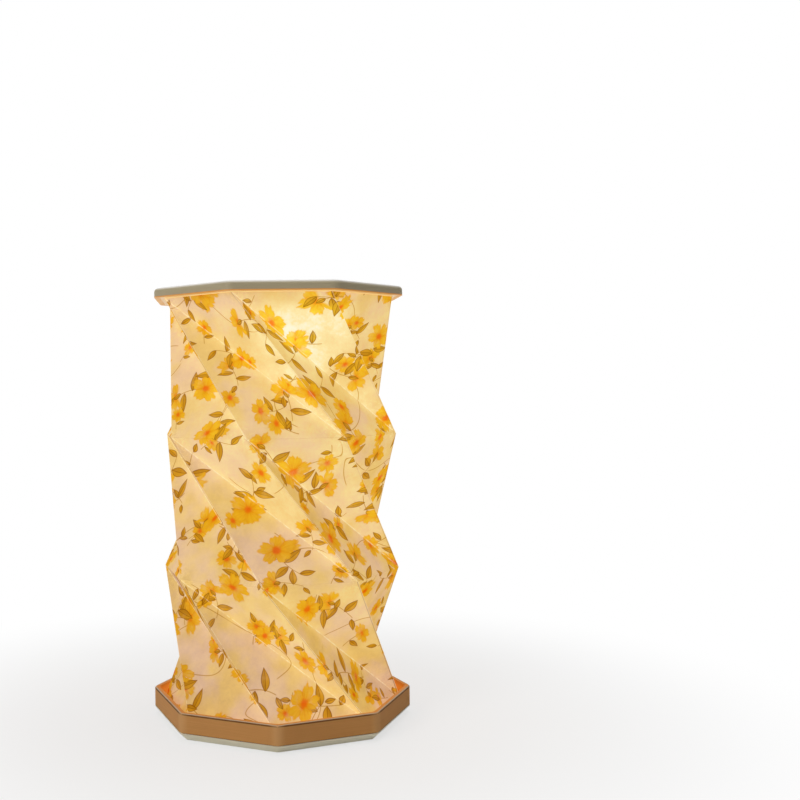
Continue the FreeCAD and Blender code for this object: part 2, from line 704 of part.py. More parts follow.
def make_nameplate():
    plate = new_body("nameplate", "Fits.nameplate_level", "Fits.lid_turn")
    outline = slot_sketch(plate, "XY_Plane", "Sizes.nameplate_length", "Sizes.nameplate_width",
                          "-Fits.nameplate_place")
    pad(plate, outline, "Sizes.nameplate_thickness")
    pins = []
    for sign in ("-", ""):
        x = f"{sign}Sizes.nameplate_pin_pitch / 2"
        round_bar(plate, "Subtractive", "Fits.nameplate_pin_hole", "Sizes.nameplate_thickness", x,
                  "-Fits.nameplate_place")
        pin = solid("Cylinder", "nameplate_pin", Radius="Sizes.nameplate_pin_radius",
                    Height="Fits.nameplate_top + Sizes.nameplate_pin_proud - Fits.lid_roof")
        place(pin, x, "-Fits.nameplate_place", "Fits.lid_roof")
        pins.append(pin)
    finish_subpart(plate, "nameplate")
    group("nameplate_pins", pins, turn="Fits.lid_turn")


make_base_pad()
make_base_plate()
make_tray_rim()
make_tray_inside()
make_magnets("rim_magnets", "Fits.rim_slot_reach", "Sizes.rim_height - Sizes.magnet_skin", "Fits.rim_level",
             RIM_MAGNET_TURNS)
make_hems_and_frames()
for tier_number, tier_label in enumerate(PAPER_TIERS):
    make_tier(tier_number, tier_label)
make_lid_shell()
make_lid_panel()
make_magnets("lid_magnets", "Fits.lid_slot_reach", "Sizes.lid_magnet_height", "Fits.panel_top",
             LID_MAGNET_TURNS, "Fits.lid_turn")
make_base_screws()
make_light_engine()
make_button()
make_battery()
make_inlet()
make_leads()
make_nameplate()
doc.recompute()

for thing in doc.Objects:
    if {"Invalid", "Error"} & set(thing.State):
        raise RuntimeError(f"{thing.Name} failed: {thing.State}")
for subpart in subparts:
    if subpart.Shape.isNull() or not subpart.Shape.isValid():
        raise RuntimeError(f"{subpart.Label} has no valid shape")

os.makedirs("parts", exist_ok=True)
for subpart in subparts:
    subpart.Shape.exportStep(f"parts/{subpart.Label}.step")
    print(f"{subpart.Label}: {len(subpart.Shape.Solids)} solids, {subpart.Shape.Volume:.1f} mm3")
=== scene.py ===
import math

import bpy
import numpy as np
from mathutils import Euler, Matrix, Vector


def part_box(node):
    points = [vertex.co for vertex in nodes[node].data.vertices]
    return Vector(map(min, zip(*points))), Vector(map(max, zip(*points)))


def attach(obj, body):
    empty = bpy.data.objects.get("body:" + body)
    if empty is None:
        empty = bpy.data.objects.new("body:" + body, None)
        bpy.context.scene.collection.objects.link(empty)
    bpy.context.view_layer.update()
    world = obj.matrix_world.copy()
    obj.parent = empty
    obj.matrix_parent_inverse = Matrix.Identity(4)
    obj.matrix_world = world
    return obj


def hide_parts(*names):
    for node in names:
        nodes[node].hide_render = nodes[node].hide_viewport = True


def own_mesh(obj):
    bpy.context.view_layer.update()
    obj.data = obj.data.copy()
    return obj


# Folding night lamp: the CAD bodies with a printed, twist-folded paper shade, in metres, +Z up, front at -Y

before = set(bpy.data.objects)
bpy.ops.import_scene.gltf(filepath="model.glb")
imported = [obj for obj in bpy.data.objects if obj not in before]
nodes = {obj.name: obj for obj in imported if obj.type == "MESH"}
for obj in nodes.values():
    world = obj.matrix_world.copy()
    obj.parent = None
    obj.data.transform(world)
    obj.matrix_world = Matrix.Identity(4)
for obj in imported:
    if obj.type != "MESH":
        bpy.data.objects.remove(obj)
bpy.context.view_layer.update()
scene = bpy.context.scene

MM = 0.001
SIDES = 8
STEP = 2 * math.pi / SIDES
OPEN_TWIST = math.radians(51.0)
FRONT_TURN = math.radians(4.5)
TIERS = (("shade_lower_tier", "shade_lower"), ("shade_middle_tier", "shade_middle"),
         ("shade_upper_tier", "shade_upper"))
WHITE = (1.0, 1.0, 1.0)
BLACK = (0.0, 0.0, 0.0)


def linear(*screen):
    """Linear light of a colour that is given by its three screen values, from 0 to 255."""
    return tuple(((value / 255 + 0.055) / 1.055) ** 2.4 for value in screen)


def shaded(colour, share):
    return tuple(min(1.0, value * share) for value in colour)


def soft_step(value, low, high):
    """A soft step from 0 at low to 1 at high for numbers and arrays; high may be the lesser."""
    share = np.clip((value - low) / (high - low), 0, 1)
    return share * share * (3 - 2 * share)


def add_piece(name, points, faces):
    mesh = bpy.data.meshes.new(name)
    mesh.from_pydata(points, [], faces)
    mesh.update()
    piece = bpy.data.objects.new(name, mesh)
    scene.collection.objects.link(piece)
    return piece


# Node arithmetic: a Wire is a socket that formulas can be written with

MIDDLE = 0.5
MIX_SHARE, MIX_FIRST, MIX_SECOND, MIX_RESULT = 0, 6, 7, 2


class Wire:
    def __init__(self, tree, socket):
        self.tree = tree
        self.socket = socket

    def __add__(self, other):
        return calc(self.tree, "ADD", self, other)

    def __sub__(self, other):
        return calc(self.tree, "SUBTRACT", self, other)

    def __rsub__(self, other):
        return calc(self.tree, "SUBTRACT", other, self)

    def __mul__(self, other):
        return calc(self.tree, "MULTIPLY", self, other)

    def __truediv__(self, other):
        return calc(self.tree, "DIVIDE", self, other)

    def __pow__(self, other):
        return calc(self.tree, "POWER", self, other)

    def __abs__(self):
        return calc(self.tree, "ABSOLUTE", self)

    def floor(self):
        return calc(self.tree, "FLOOR", self)

    def fract(self):
        return calc(self.tree, "FRACT", self)

    def sin(self):
        return calc(self.tree, "SINE", self)

    def cos(self):
        return calc(self.tree, "COSINE", self)

    def least(self, other):
        return calc(self.tree, "MINIMUM", self, other)

    def most(self, other):
        return calc(self.tree, "MAXIMUM", self, other)

    def swing(self, strength):
        """A value from 0 to 1 as a move to either side."""
        return (self - MIDDLE) * strength

    def rise(self, low, high):
        """A soft step from 0 at low to 1 at high; high may be the lesser."""
        node = self.tree.nodes.new("ShaderNodeMapRange")
        node.interpolation_type = "SMOOTHSTEP"
        node.inputs["From Min"].default_value = low
        node.inputs["From Max"].default_value = high
        plug(self.tree, self, node.inputs["Value"])
        return Wire(self.tree, node.outputs["Result"])


def plug(tree, value, socket):
    if isinstance(value, Wire):
        tree.links.new(value.socket, socket)
    elif isinstance(value, tuple) and len(value) < len(socket.default_value):
        socket.default_value = (*value, 1.0)
    else:
        socket.default_value = value


def calc(tree, operation, *values):
    node = tree.nodes.new("ShaderNodeMath")
    node.operation = operation
    for value, socket in zip(values, node.inputs):
        plug(tree, value, socket)
    return Wire(tree, node.outputs[0])


def length_of(x, y):
    return calc(x.tree, "SQRT", x * x + y * y)


def mix(tree, share, first, second, mode="MIX"):
    node = tree.nodes.new("ShaderNodeMix")
    node.data_type = "RGBA"
    node.blend_type = mode
    plug(tree, share, node.inputs[MIX_SHARE])
    plug(tree, first, node.inputs[MIX_FIRST])
    plug(tree, second, node.inputs[MIX_SECOND])
    return Wire(tree, node.outputs[MIX_RESULT])


def vector(tree, x, y, z=0.0):
    node = tree.nodes.new("ShaderNodeCombineXYZ")
    for value, socket in zip((x, y, z), node.inputs):
        plug(tree, value, socket)
    return Wire(tree, node.outputs[0])


def split(tree, wire):
    node = tree.nodes.new("ShaderNodeSeparateXYZ")
    plug(tree, wire, node.inputs[0])
    return [Wire(tree, output) for output in node.outputs]


def attribute(tree, name, output):
    node = tree.nodes.new("ShaderNodeAttribute")
    node.attribute_name = name
    return Wire(tree, node.outputs[output])


def noise(tree, place, scale, detail=2.0, rough=0.5, dimensions="3D", output="Fac"):
    node = tree.nodes.new("ShaderNodeTexNoise")
    node.noise_dimensions = dimensions
    plug(tree, place, node.inputs["Vector"])
    node.inputs["Scale"].default_value = scale
    node.inputs["Detail"].default_value = detail
    node.inputs["Roughness"].default_value = rough
    return Wire(tree, node.outputs[output])


def flat_noise(tree, place, scale, detail=2.0, rough=0.5, output="Fac"):
    return noise(tree, place, scale, detail, rough, "2D", output)


def object_place(tree, stretch=(1.0, 1.0, 1.0)):
    coordinates = tree.nodes.new("ShaderNodeTexCoord")
    node = tree.nodes.new("ShaderNodeMapping")
    node.inputs["Scale"].default_value = stretch
    tree.links.new(coordinates.outputs["Object"], node.inputs["Vector"])
    return Wire(tree, node.outputs["Vector"])


def place_in_mm(tree):
    return split(tree, object_place(tree, (1 / MM, 1 / MM, 1 / MM)))


def ramp(tree, value, stops):
    node = tree.nodes.new("ShaderNodeValToRGB")
    elements = node.color_ramp.elements
    for number, (place, colour) in enumerate(stops):
        element = elements[number] if number < 2 else elements.new(place)
        element.position = place
        element.color = (*colour, 1.0)
    plug(tree, value, node.inputs[0])
    return Wire(tree, node.outputs[0])


def bump(tree, height, strength, distance):
    node = tree.nodes.new("ShaderNodeBump")
    node.inputs["Strength"].default_value = strength
    node.inputs["Distance"].default_value = distance
    plug(tree, height, node.inputs["Height"])
    return Wire(tree, node.outputs[0])


def new_material(name):
    material = bpy.data.materials.new(name)
    material.use_nodes = True
    tree = material.node_tree
    return material, tree, tree.nodes["Principled BSDF"]


def set_shader(tree, shader, **values):
    for name, value in values.items():
        plug(tree, value, shader.inputs[name.replace("_", " ")])


def turned(x, y, angle):
    c, s = math.cos(angle), math.sin(angle)
    return x * c + y * s, y * c - x * s


# Floral print, drawn by formula on the shade's flat net in millimetres, with inks that tint the paper

PETAL_LIGHT = (0.98, 0.76, 0.07)
PETAL_DEEP = (0.9, 0.5, 0.012)
PETAL_HEART = (0.93, 0.25, 0.015)
LEAF_LIGHT = (0.78, 0.54, 0.06)
LEAF_DARK = (0.33, 0.15, 0.004)
STEM = (0.62, 0.42, 0.08)

# Leaf: curve, taper and ends as shares of its length, its lines in millimetres, and how dark its parts are
LEAF_CURVE = 0.12
LEAF_TAPER = 0.8
LEAF_ROOT = (-0.12, -0.06)
LEAF_TIP = (1.03, 0.98)
LEAF_EDGE = (-0.15, 0.2)
LEAF_OUTLINE = (0.55, 0.15)
LEAF_RIB = (0.3, 0.08)
LEAF_DIM_HALF = (-0.4, 0.9)
LEAF_DIM_ROOT = (0.5, 0.0)
RIB_TONE, HALF_TONE, ROOT_TONE, LINE_TONE = 0.8, 0.3, 0.2, 0.75
LEAF_INK = (0.4, 0.6)

# Blossom: outline as shares of its radius, soft edges in millimetres, and how deep its petals are tinted
PETALS = 5
PETAL_FULLNESS = 0.5
PETAL_WAIST = 0.52
PETAL_NOTCH = 0.11
NOTCH_WIDTH = (0.95, 1.0)
RAGGED = 0.36
FANNED = 0.34
FAN_SCALE = (5.5, 0.12)
FAN_DETAIL = 3.0
FAN_LEVEL = 0.42
PETAL_EDGE = (0.6, -0.7)
PETAL_SIDES = (0.6, 0.0)
PETAL_THROAT = (0.8, 0.15)
PETAL_MARGIN = (-1.3, -0.1)
SIDE_TONE, THROAT_TONE, FAN_TONE, MARGIN_TONE = 0.4, 0.5, 1.5, 0.3
HEART_REACH = 0.2
HEART_RAGGED = 2.2
HEART_EDGE = (1.3, -0.9)

# Sprays: least size and spread, stems, and the cup of a flower that is seen from the side
SPRAY_SIZE = (0.8, 0.24)
FLOWER_LEAN = (0.58, 0.42)
STEM_LINE = (0.34, 0.12)
STEM_END = 0.3
STEM_INK = 0.8
CUP_SLOPE = 0.35
CUP_EDGE = (-1.6, 0.2)
CUP_HEART = 0.6
CALYX_DROP = 3.4
CALYX = (90, 5.0, 1.5)

# Each leaf is its root, direction in degrees, length and half width
SPRIG = {
    "cell": 36.0, "seed": 3.37, "turn": 22, "cup": False,
    "flower": (-1.5, 5.5), "radius": 9.5, "bend": 0.018, "stem": (-12.5, 5.0),
    "leaves": (((-0.4, -2.5), 18, 11.0, 2.2), ((0.7, -5.5), 196, 11.5, 2.3), ((3.6, -11.5), -12, 8.5, 1.8)),
}
TWIG = {
    "cell": 33.0, "seed": 8.61, "turn": -31, "cup": True,
    "flower": (1.0, 4.5), "radius": 8.8, "bend": -0.02, "stem": (-10.5, 6.0),
    "leaves": (((0.0, -1.0), 158, 10.3, 1.9), ((-1.6, -5.4), -22, 11.0, 2.1), ((-4.4, -10.4), 200, 6.5, 1.5)),
}
BUD = {
    "cell": 29.0, "seed": 5.23, "turn": 57, "cup": False,
    "flower": (0.5, 2.0), "radius": 6.2, "bend": 0.02, "stem": (-9.0, 2.0),
    "leaves": (((1.6, -5.0), 24, 6.5, 1.4),),
}

VINE_TAP = 0.6
VINE_SCALE = 0.021
VINE_SLOPE = 0.002
VINE_INK = 0.75
VINE_PATCH_SHIFT = (71.0, -33.0)
VINE_PATCH_SCALE = 0.03
VINE_PATCHES = (0.4, 0.46)
DRIFT = 16.0
DRIFT_SCALE = 0.016
WOBBLE_SCALE = 0.22
WASH_SCALE = 0.16
WASH_DETAIL = (3.0, 0.6)
WASH_PATCHES = (0.15, 0.55)
WASH_INK = (0.68, 0.3)


def cell(tree, x, y, size, seed):
    """Place inside a square cell, turned by chance, and three chances of that cell."""
    gx, gy = x / size + seed, y / size + seed
    node = tree.nodes.new("ShaderNodeTexWhiteNoise")
    node.noise_dimensions = "2D"
    plug(tree, vector(tree, gx.floor() + seed, gy.floor()), node.inputs["Vector"])
    chances = split(tree, Wire(tree, node.outputs["Color"]))
    lx, ly = gx.fract().swing(size), gy.fract().swing(size)
    angle = chances[0] * (2 * math.pi)
    c, s = angle.cos(), angle.sin()
    return lx * c + ly * s, ly * c - lx * s, chances


def leaf(x, y, root, direction, length, width):
    """Cover and tone of a pointed leaf with a midrib."""
    lx, ly = turned(x - root[0], y - root[1], math.radians(direction))
    along = lx / length
    aside = ly - along * along * (LEAF_CURVE * length)
    inside = along.most(0.0).least(1.0)
    half = (inside ** LEAF_TAPER * math.pi).sin() * width
    inset = half - abs(aside)
    cover = inset.rise(*LEAF_EDGE) * along.rise(*LEAF_ROOT) * along.rise(*LEAF_TIP)
    lines = inset.rise(*LEAF_OUTLINE).most(abs(aside).rise(*LEAF_RIB) * RIB_TONE)
    tone = aside.rise(*LEAF_DIM_HALF) * HALF_TONE + along.rise(*LEAF_DIM_ROOT) * ROOT_TONE
    return cover, (tone + lines * LINE_TONE).least(1.0)


def blossom(tree, x, y, centre, radius, lean, wobble):
    """Cover, petal tone and heart of a round five-petalled flower, seen aslant by lean."""
    bx, by = x - centre[0], (y - centre[1]) / lean
    reach = length_of(bx, by)
    angle = calc(tree, "ARCTAN2", by, bx)
    lobe = abs((angle * (PETALS / 2)).cos())
    fan_place = vector(tree, angle * FAN_SCALE[0], reach * FAN_SCALE[1], lean)
    fan = noise(tree, fan_place, scale=1.0, detail=FAN_DETAIL)
    edge = (lobe ** PETAL_FULLNESS * (1 - PETAL_WAIST) + PETAL_WAIST) * radius
    edge = edge - lobe.rise(*NOTCH_WIDTH) * (PETAL_NOTCH * radius)
    edge = edge + wobble.swing(RAGGED * radius) + fan.swing(FANNED * radius)
    cover = (reach - edge).rise(*PETAL_EDGE)
    tone = lobe.rise(*PETAL_SIDES) * SIDE_TONE + (reach / edge).rise(*PETAL_THROAT) * THROAT_TONE
    tone = tone + (fan - FAN_LEVEL) * FAN_TONE + (reach - edge).rise(*PETAL_MARGIN) * MARGIN_TONE
    heart = (reach + wobble.swing(HEART_RAGGED) - HEART_REACH * radius).rise(*HEART_EDGE)
    return cover, tone.most(0.0).least(1.0), heart


def add_leaf(tree, inks, shape, wash):
    cover, tone = shape
    least, spread = LEAF_INK
    return mix(tree, cover * (wash * spread + least), inks, mix(tree, tone, LEAF_LIGHT, LEAF_DARK))


def add_blossom(tree, inks, shape, wash):
    cover, tone, heart = shape
    petals = mix(tree, tone, PETAL_LIGHT, PETAL_DEEP)
    return mix(tree, cover * wash, inks, mix(tree, heart, petals, PETAL_HEART))


def stem_line(lx, ly, layout):
    flower_x, flower_y = layout["flower"]
    low, high = layout["stem"]
    climb = ly - flower_y
    sway = lx - climb * layout["bend"] * climb - flower_x
    ends = ly.rise(low - STEM_END, low + STEM_END) * ly.rise(high + STEM_END, high - STEM_END)
    return abs(sway).rise(*STEM_LINE) * ends


def print_layer(tree, inks, x, y, layout, wobble, wash):
    """One spray in each cell: stem, leaves and flower, over the inks that are there."""
    lx, ly, chances = cell(tree, x, y, layout["cell"], layout["seed"])
    size = chances[1] * SPRAY_SIZE[1] + SPRAY_SIZE[0]
    lx, ly = lx / size, ly / size
    inks = mix(tree, stem_line(lx, ly, layout) * STEM_INK, inks, STEM)
    for shape in layout["leaves"]:
        inks = add_leaf(tree, inks, leaf(lx, ly, *shape), wash)
    lean = chances[2] * FLOWER_LEAN[1] + FLOWER_LEAN[0]
    cover, tone, heart = blossom(tree, lx, ly, layout["flower"], layout["radius"], lean, wobble)
    if not layout["cup"]:
        return add_blossom(tree, inks, (cover, tone, heart), wash)
    flower_x, flower_y = layout["flower"]
    cover = cover * (ly + abs(lx - flower_x) * CUP_SLOPE - flower_y).rise(*CUP_EDGE)
    inks = add_blossom(tree, inks, (cover, tone, heart * CUP_HEART), wash)
    return add_leaf(tree, inks, leaf(lx, ly, (flower_x, flower_y - CALYX_DROP), *CALYX), wash)


def vines(tree, x, y):
    """Thin wandering stems: one contour of a smooth field, kept even in width by its slope."""
    taps = ((0.0, 0.0), (VINE_TAP, 0.0), (0.0, VINE_TAP))
    field = [flat_noise(tree, vector(tree, x + dx, y + dy), VINE_SCALE, detail=0.0) for dx, dy in taps]
    slope = length_of(field[1] - field[0], field[2] - field[0]) / VINE_TAP
    away = abs(field[0] - MIDDLE) / slope.most(VINE_SLOPE)
    patch_place = vector(tree, x + VINE_PATCH_SHIFT[0], y + VINE_PATCH_SHIFT[1])
    patches = flat_noise(tree, patch_place, VINE_PATCH_SCALE, detail=1.0).rise(*VINE_PATCHES)
    return away.rise(*STEM_LINE) * patches


def floral(tree, net):
    x, y, _ = split(tree, net)
    drift = split(tree, flat_noise(tree, net, DRIFT_SCALE, detail=1.0, output="Color"))
    px, py = x + drift[0].swing(DRIFT), y + drift[1].swing(DRIFT)
    wobble = flat_noise(tree, net, WOBBLE_SCALE)
    wash = flat_noise(tree, net, WASH_SCALE, *WASH_DETAIL).rise(*WASH_PATCHES) * WASH_INK[1] + WASH_INK[0]
    inks = mix(tree, vines(tree, x, y) * VINE_INK, WHITE, STEM)
    for layout in (BUD, TWIG, SPRIG):
        tx, ty = turned(px, py, math.radians(layout["turn"]))
        inks = print_layer(tree, inks, tx, ty, layout, wobble, wash)
    return inks


# Glowing paper: noises are scale, detail, roughness and strength, and bands are millimetres from a fold

PAPER_GLOW = ((0.0, linear(180, 138, 62)), (0.3, linear(203, 163, 76)), (0.5, linear(214, 176, 91)),
              (0.7, linear(225, 195, 119)), (0.85, linear(232, 212, 148)), (1.0, linear(240, 232, 206)))
PAPER_TINT = (0.34, 0.285, 0.2)
PAPER_ROUGHNESS = 0.85
PAPER_PATCHES = ((0.024, 2.0, 0.5, 0.3), (0.09, 5.0, 0.62, 0.5), (0.6, 4.0, 0.7, 0.24))
FIBRE = (2.2, 4.0, 0.7)
FIBRE_BUMP = (0.25, 0.3 * MM)
ROSE = (0.0, 0.004, 0.13)
ROSE_SHIFT = (260.0, 90.0)
ROSE_NOISE = (0.035, 3.0, 0.6)
ROSE_PATCHES = (0.36, 0.68)
ROSE_DIM = (0.85, 0.35)

RIDGE = (0.05, -0.05)
RIDGE_BRIGHT = (-24.0, 0.0)
RIDGE_DIM = (20.0, 0.0)
RIDGE_LIGHT = 0.1
VALLEY_REACH = (7.0, 0.0)
VALLEY_LIGHT = 0.12
CORNER_REACH = (11.0, 0.0)
CORNER_DIM = 0.09
PLEAT_NOISE = (0.3, 2.0, 0.55)
PLEAT_LINE = (0.06, 0.0)
PLEAT_LIGHT = 0.24
SEAM_LAP = 7.0
SEAM_EDGE = 0.1
SEAM_DIM = 0.22
SEAM_LINE = (0.3, 0.08)
SEAM_SHADOW = 0.6

PATCHY_NOISE = (0.35, 2.0)
PATCHY_BANDS = (0.25, 0.65)
# Light lines along the folds: crease wear in the paper's colour and a painted highlight in its glow
WORN_HIGHLIGHT_VALLEY = (0.6, 0.1)
WORN_HIGHLIGHT_RIDGE = (0.3, 0.06)
WORN_HIGHLIGHT_SHARE = 0.42
WORN_HIGHLIGHT_GLOW = linear(236, 222, 184)
WORN_TINT = (0.4, 0.37, 0.3)
CREASE_FAR = (-0.85, -0.55)
CREASE_NEAR = (-0.05, -0.3)
CREASE_DIM = (0.75, 0.1)
CREASE_SHARE = 0.75
CREASE_SHADOW = linear(124, 74, 30)
LEVEL_LINE = (0.35, 0.1)
LEVEL_SHARE = 0.12


def lit_paper(tree, net, glow, folds, lap):
    """The light through the sheet: its patches, its folds, the pleats at its corners and its glued lap."""
    mountain, valley, _ = folds
    lit = glow
    for scale, detail, rough, strength in PAPER_PATCHES:
        lit = lit + flat_noise(tree, net, scale, detail, rough).swing(strength)
    bright_side = mountain.rise(*RIDGE)
    lit = lit + bright_side * mountain.rise(*RIDGE_BRIGHT) * RIDGE_LIGHT
    lit = lit - (1.0 - bright_side) * mountain.rise(*RIDGE_DIM) * RIDGE_LIGHT
    lit = lit + abs(valley).rise(*VALLEY_REACH) * VALLEY_LIGHT
    ridge, furrow, ring = (abs(fold).rise(*CORNER_REACH) for fold in folds)
    corner = (ridge * furrow).most(ridge * ring).most(furrow * ring)
    pleats = abs(flat_noise(tree, net, *PLEAT_NOISE) - MIDDLE).rise(*PLEAT_LINE)
    lit = lit + corner * (pleats * PLEAT_LIGHT - CORNER_DIM)
    lapped = lap.rise(-SEAM_EDGE, SEAM_EDGE) * lap.rise(SEAM_LAP + SEAM_EDGE, SEAM_LAP - SEAM_EDGE)
    return lit - lapped * SEAM_DIM


def fold_marks(tree, net, glow, folds, lap):
    """Shares of the light lines along the folds, partly crease wear and partly painted highlight, and of
    painted shadow along the folds and the seam.
    """
    mountain, valley, level = folds
    patchy = flat_noise(tree, net, *PATCHY_NOISE).rise(*PATCHY_BANDS)
    # Light lines along the folds in patches: crease wear and painted highlight
    worn_highlight = abs(valley).rise(*WORN_HIGHLIGHT_VALLEY).most(abs(mountain).rise(*WORN_HIGHLIGHT_RIDGE)) * patchy * WORN_HIGHLIGHT_SHARE
    # Painted shadow: a dark line beside each mountain fold, a faint one along the level folds, one at the
    # seam
    shadow = mountain.rise(*CREASE_FAR) * mountain.rise(*CREASE_NEAR) * glow.rise(*CREASE_DIM) * CREASE_SHARE
    shadow = shadow.most(abs(level).rise(*LEVEL_LINE) * patchy * LEVEL_SHARE)
    shadow = shadow.most(abs(lap - SEAM_LAP).rise(*SEAM_LINE) * SEAM_SHADOW)
    return worn_highlight, shadow


def printed_paper(lean):
    """Glowing printed paper; lean is the sideways run of the seam on the net for each unit of height."""
    material, tree, shader = new_material("printed_paper")
    net = attribute(tree, "net_mm", "Vector")
    glow = attribute(tree, "glow", "Fac")
    folds = split(tree, attribute(tree, "fold_mm", "Vector"))
    x, y, _ = split(tree, net)
    lap = x - y * lean
    lit = lit_paper(tree, net, glow, folds, lap)
    worn_highlight, shadow = fold_marks(tree, net, glow, folds, lap)
    inks = floral(tree, net)
    rose = flat_noise(tree, vector(tree, x + ROSE_SHIFT[0], y + ROSE_SHIFT[1]), *ROSE_NOISE)
    rose = rose.rise(*ROSE_PATCHES) * lit.rise(*ROSE_DIM)
    through = mix(tree, rose, ramp(tree, lit, PAPER_GLOW), ROSE, "ADD")
    through = mix(tree, 1.0, through, inks, "MULTIPLY")
    # Painted highlight, then painted shadow, along the folds in the glow
    through = mix(tree, worn_highlight, through, WORN_HIGHLIGHT_GLOW)
    through = mix(tree, shadow, through, CREASE_SHADOW)
    front = mix(tree, 1.0, PAPER_TINT, inks, "MULTIPLY")
    # Crease wear lightens the paper's own colour on the same lines
    front = mix(tree, worn_highlight, front, WORN_TINT)
    fibre = bump(tree, flat_noise(tree, net, *FIBRE), *FIBRE_BUMP)
    set_shader(tree, shader, Base_Color=front, Roughness=PAPER_ROUGHNESS, Specular_IOR_Level=0.0,
               Emission_Color=through, Emission_Strength=1.0, Normal=fibre)
    return material


# Light on the paper: the LED disc inside, a soft glow that grows upwards and two bright places, in metres

LAMP_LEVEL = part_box("led_diffuser")[0].z
LAMP_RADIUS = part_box("led_diffuser")[1].x
LAMP_SHIFT = (0.005, -0.013)
LAMP_RINGS = ((0.45, 6), (0.9, 12))
LAMP_SPREAD = 0.5
LIGHT_SCALE = 1 / 240.0
STRAIGHT_SHARE = 0.21
STRAIGHT_HALF = 0.2
SOFT_LEAST = 0.11
SOFT_RISE = 0.29
SOFT_CLIMB = (0.05, 0.6)
# Painted studio light across the glow, changing from the left flank to the right flank
SIDE_RISE = 0.08
SIDE_FALL = 0.12
HOT_SPOT = (0.012, -0.047, 0.2)
HOT_REACH = 0.019
HOT_SHARE = 0.38
LOW_SPOT = (0.02, -0.058, 0.022)
LOW_REACH = 0.042
LOW_SHARE = 0.22
LEFT_SHADE = 0.4
LEFT_FACING = (0.45, 0.85)
EDGE_GLOW = 0.4


def lamp_points():
    places = [(0.0, 0.0)]
    for share, count in LAMP_RINGS:
        for angle in np.arange(count) * 2 * math.pi / count:
            places.append((share * LAMP_RADIUS * math.cos(angle), share * LAMP_RADIUS * math.sin(angle)))
    return [np.array([x + LAMP_SHIFT[0], y + LAMP_SHIFT[1], LAMP_LEVEL]) for x, y in places]


def inside_light(points, inward):
    """Light that the LED disc sends straight onto the paper's inner face."""
    total = np.zeros(len(points))
    sources = lamp_points()
    for source in sources:
        way = source - points
        distance = np.linalg.norm(way, axis=1)
        falling = np.clip((way * inward).sum(axis=1) / distance, 0, None)
        leaving = np.clip((source[2] - points[:, 2]) / distance, 0, None) ** LAMP_SPREAD
        total += falling * leaving / distance ** 2
    return total / len(sources)


def bright_place(points, centre, reach):
    return np.exp(-(np.linalg.norm(points - centre, axis=1) / reach) ** 2)


def glow_of(points, inward):
    straight = np.clip(inside_light(points, inward) * LIGHT_SCALE, 0, None)
    side = points[:, 0] / np.linalg.norm(points[:, :2], axis=1)
    soft = SOFT_LEAST + SOFT_RISE * soft_step(points[:, 2] / LAMP_LEVEL, *SOFT_CLIMB)
    # Painted studio light: the glow changes from the left flank to the right flank
    soft += SIDE_RISE * side - SIDE_FALL * side ** 3
    hot = HOT_SHARE * bright_place(points, HOT_SPOT, HOT_REACH)
    low = LOW_SHARE * bright_place(points, LOW_SPOT, LOW_REACH)
    return soft + STRAIGHT_SHARE * straight / (straight + STRAIGHT_HALF) + hot + low


# Twist-folded shade: flat facets between octagons, each divided and slightly pillowed

MOUNTAIN, VALLEY, LEVEL = 0, 1, 2
DIVISIONS = 12
NEIGHBOUR = 1.01 / DIVISIONS
TINY = 1e-9
POINT_DIGITS = 7
PAPER = 0.4 * MM
PILLOW = 0.9 * MM
PILLOW_RANGE = (-0.5, 1.0)
RIPPLE = 0.22 * MM
RIPPLE_WAVES = (2.0, 5.0)
RIPPLE_PITCH = 3
RIPPLE_FADE = 3
SEAM_SIDE = 4
LEVEL_BLEND = 26.0
NO_FOLD = 99.0
chance = np.random.default_rng(11)


def ring_points(radius, height, turn):
    angles = turn + STEP * np.arange(SEAM_SIDE, SEAM_SIDE + SIDES + 1)
    return np.stack([radius * np.cos(angles), radius * np.sin(angles), np.full(len(angles), height)], axis=1)


def net_of_tier(radius, height):
    """Side, shift and height of one tier's flat strip, from the lengths of its folds."""
    side = 2 * radius * math.sin(STEP / 2)
    short = height ** 2 + (2 * radius * math.sin(OPEN_TWIST / 2)) ** 2
    long = height ** 2 + (2 * radius * math.sin((OPEN_TWIST + STEP) / 2)) ** 2
    shift = (side ** 2 + short - long) / (2 * side)
    return side, shift, math.sqrt(short - shift ** 2)


def tier_size(node):
    """Outer radius, lowest and highest level of a tier."""
    low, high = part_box(node)
    return max(math.hypot(v.co.x, v.co.y) for v in nodes[node].data.vertices), low.z, high.z


def seam_lean():
    radius, low, high = tier_size(TIERS[0][0])
    _, shift, strip = net_of_tier(radius, high - low)
    return shift / strip


class Sheet:
    """A folded sheet of two layers, with the values of its material at each corner of each face."""

    def __init__(self):
        self.index = {}
        self.points = []
        self.faces = []
        self.net = []
        self.folds = []
        self.glow = []
        self.sharp = set()

    def point(self, layer, place):
        key = (layer, *np.round(place, POINT_DIGITS))
        if key not in self.index:
            self.index[key] = len(self.points)
            self.points.append(tuple(place))
        return self.index[key]

    def add_face(self, ids, net, folds, glow):
        self.faces.append(ids)
        self.net.extend(net)
        self.folds.extend(folds)
        self.glow.extend(glow)


def facet_grid():
    """Shares of the three corners at each grid point, and the small triangles between the points."""
    number = {}
    shares = []
    for i in range(DIVISIONS + 1):
        for j in range(DIVISIONS + 1 - i):
            number[i, j] = len(shares)
            shares.append(((DIVISIONS - i - j) / DIVISIONS, j / DIVISIONS, i / DIVISIONS))
    small = []
    for i in range(DIVISIONS):
        for j in range(DIVISIONS - i):
            small.append((number[i, j], number[i, j + 1], number[i + 1, j]))
            if i + j < DIVISIONS - 1:
                small.append((number[i, j + 1], number[i + 1, j + 1], number[i + 1, j]))
    return np.array(shares), small


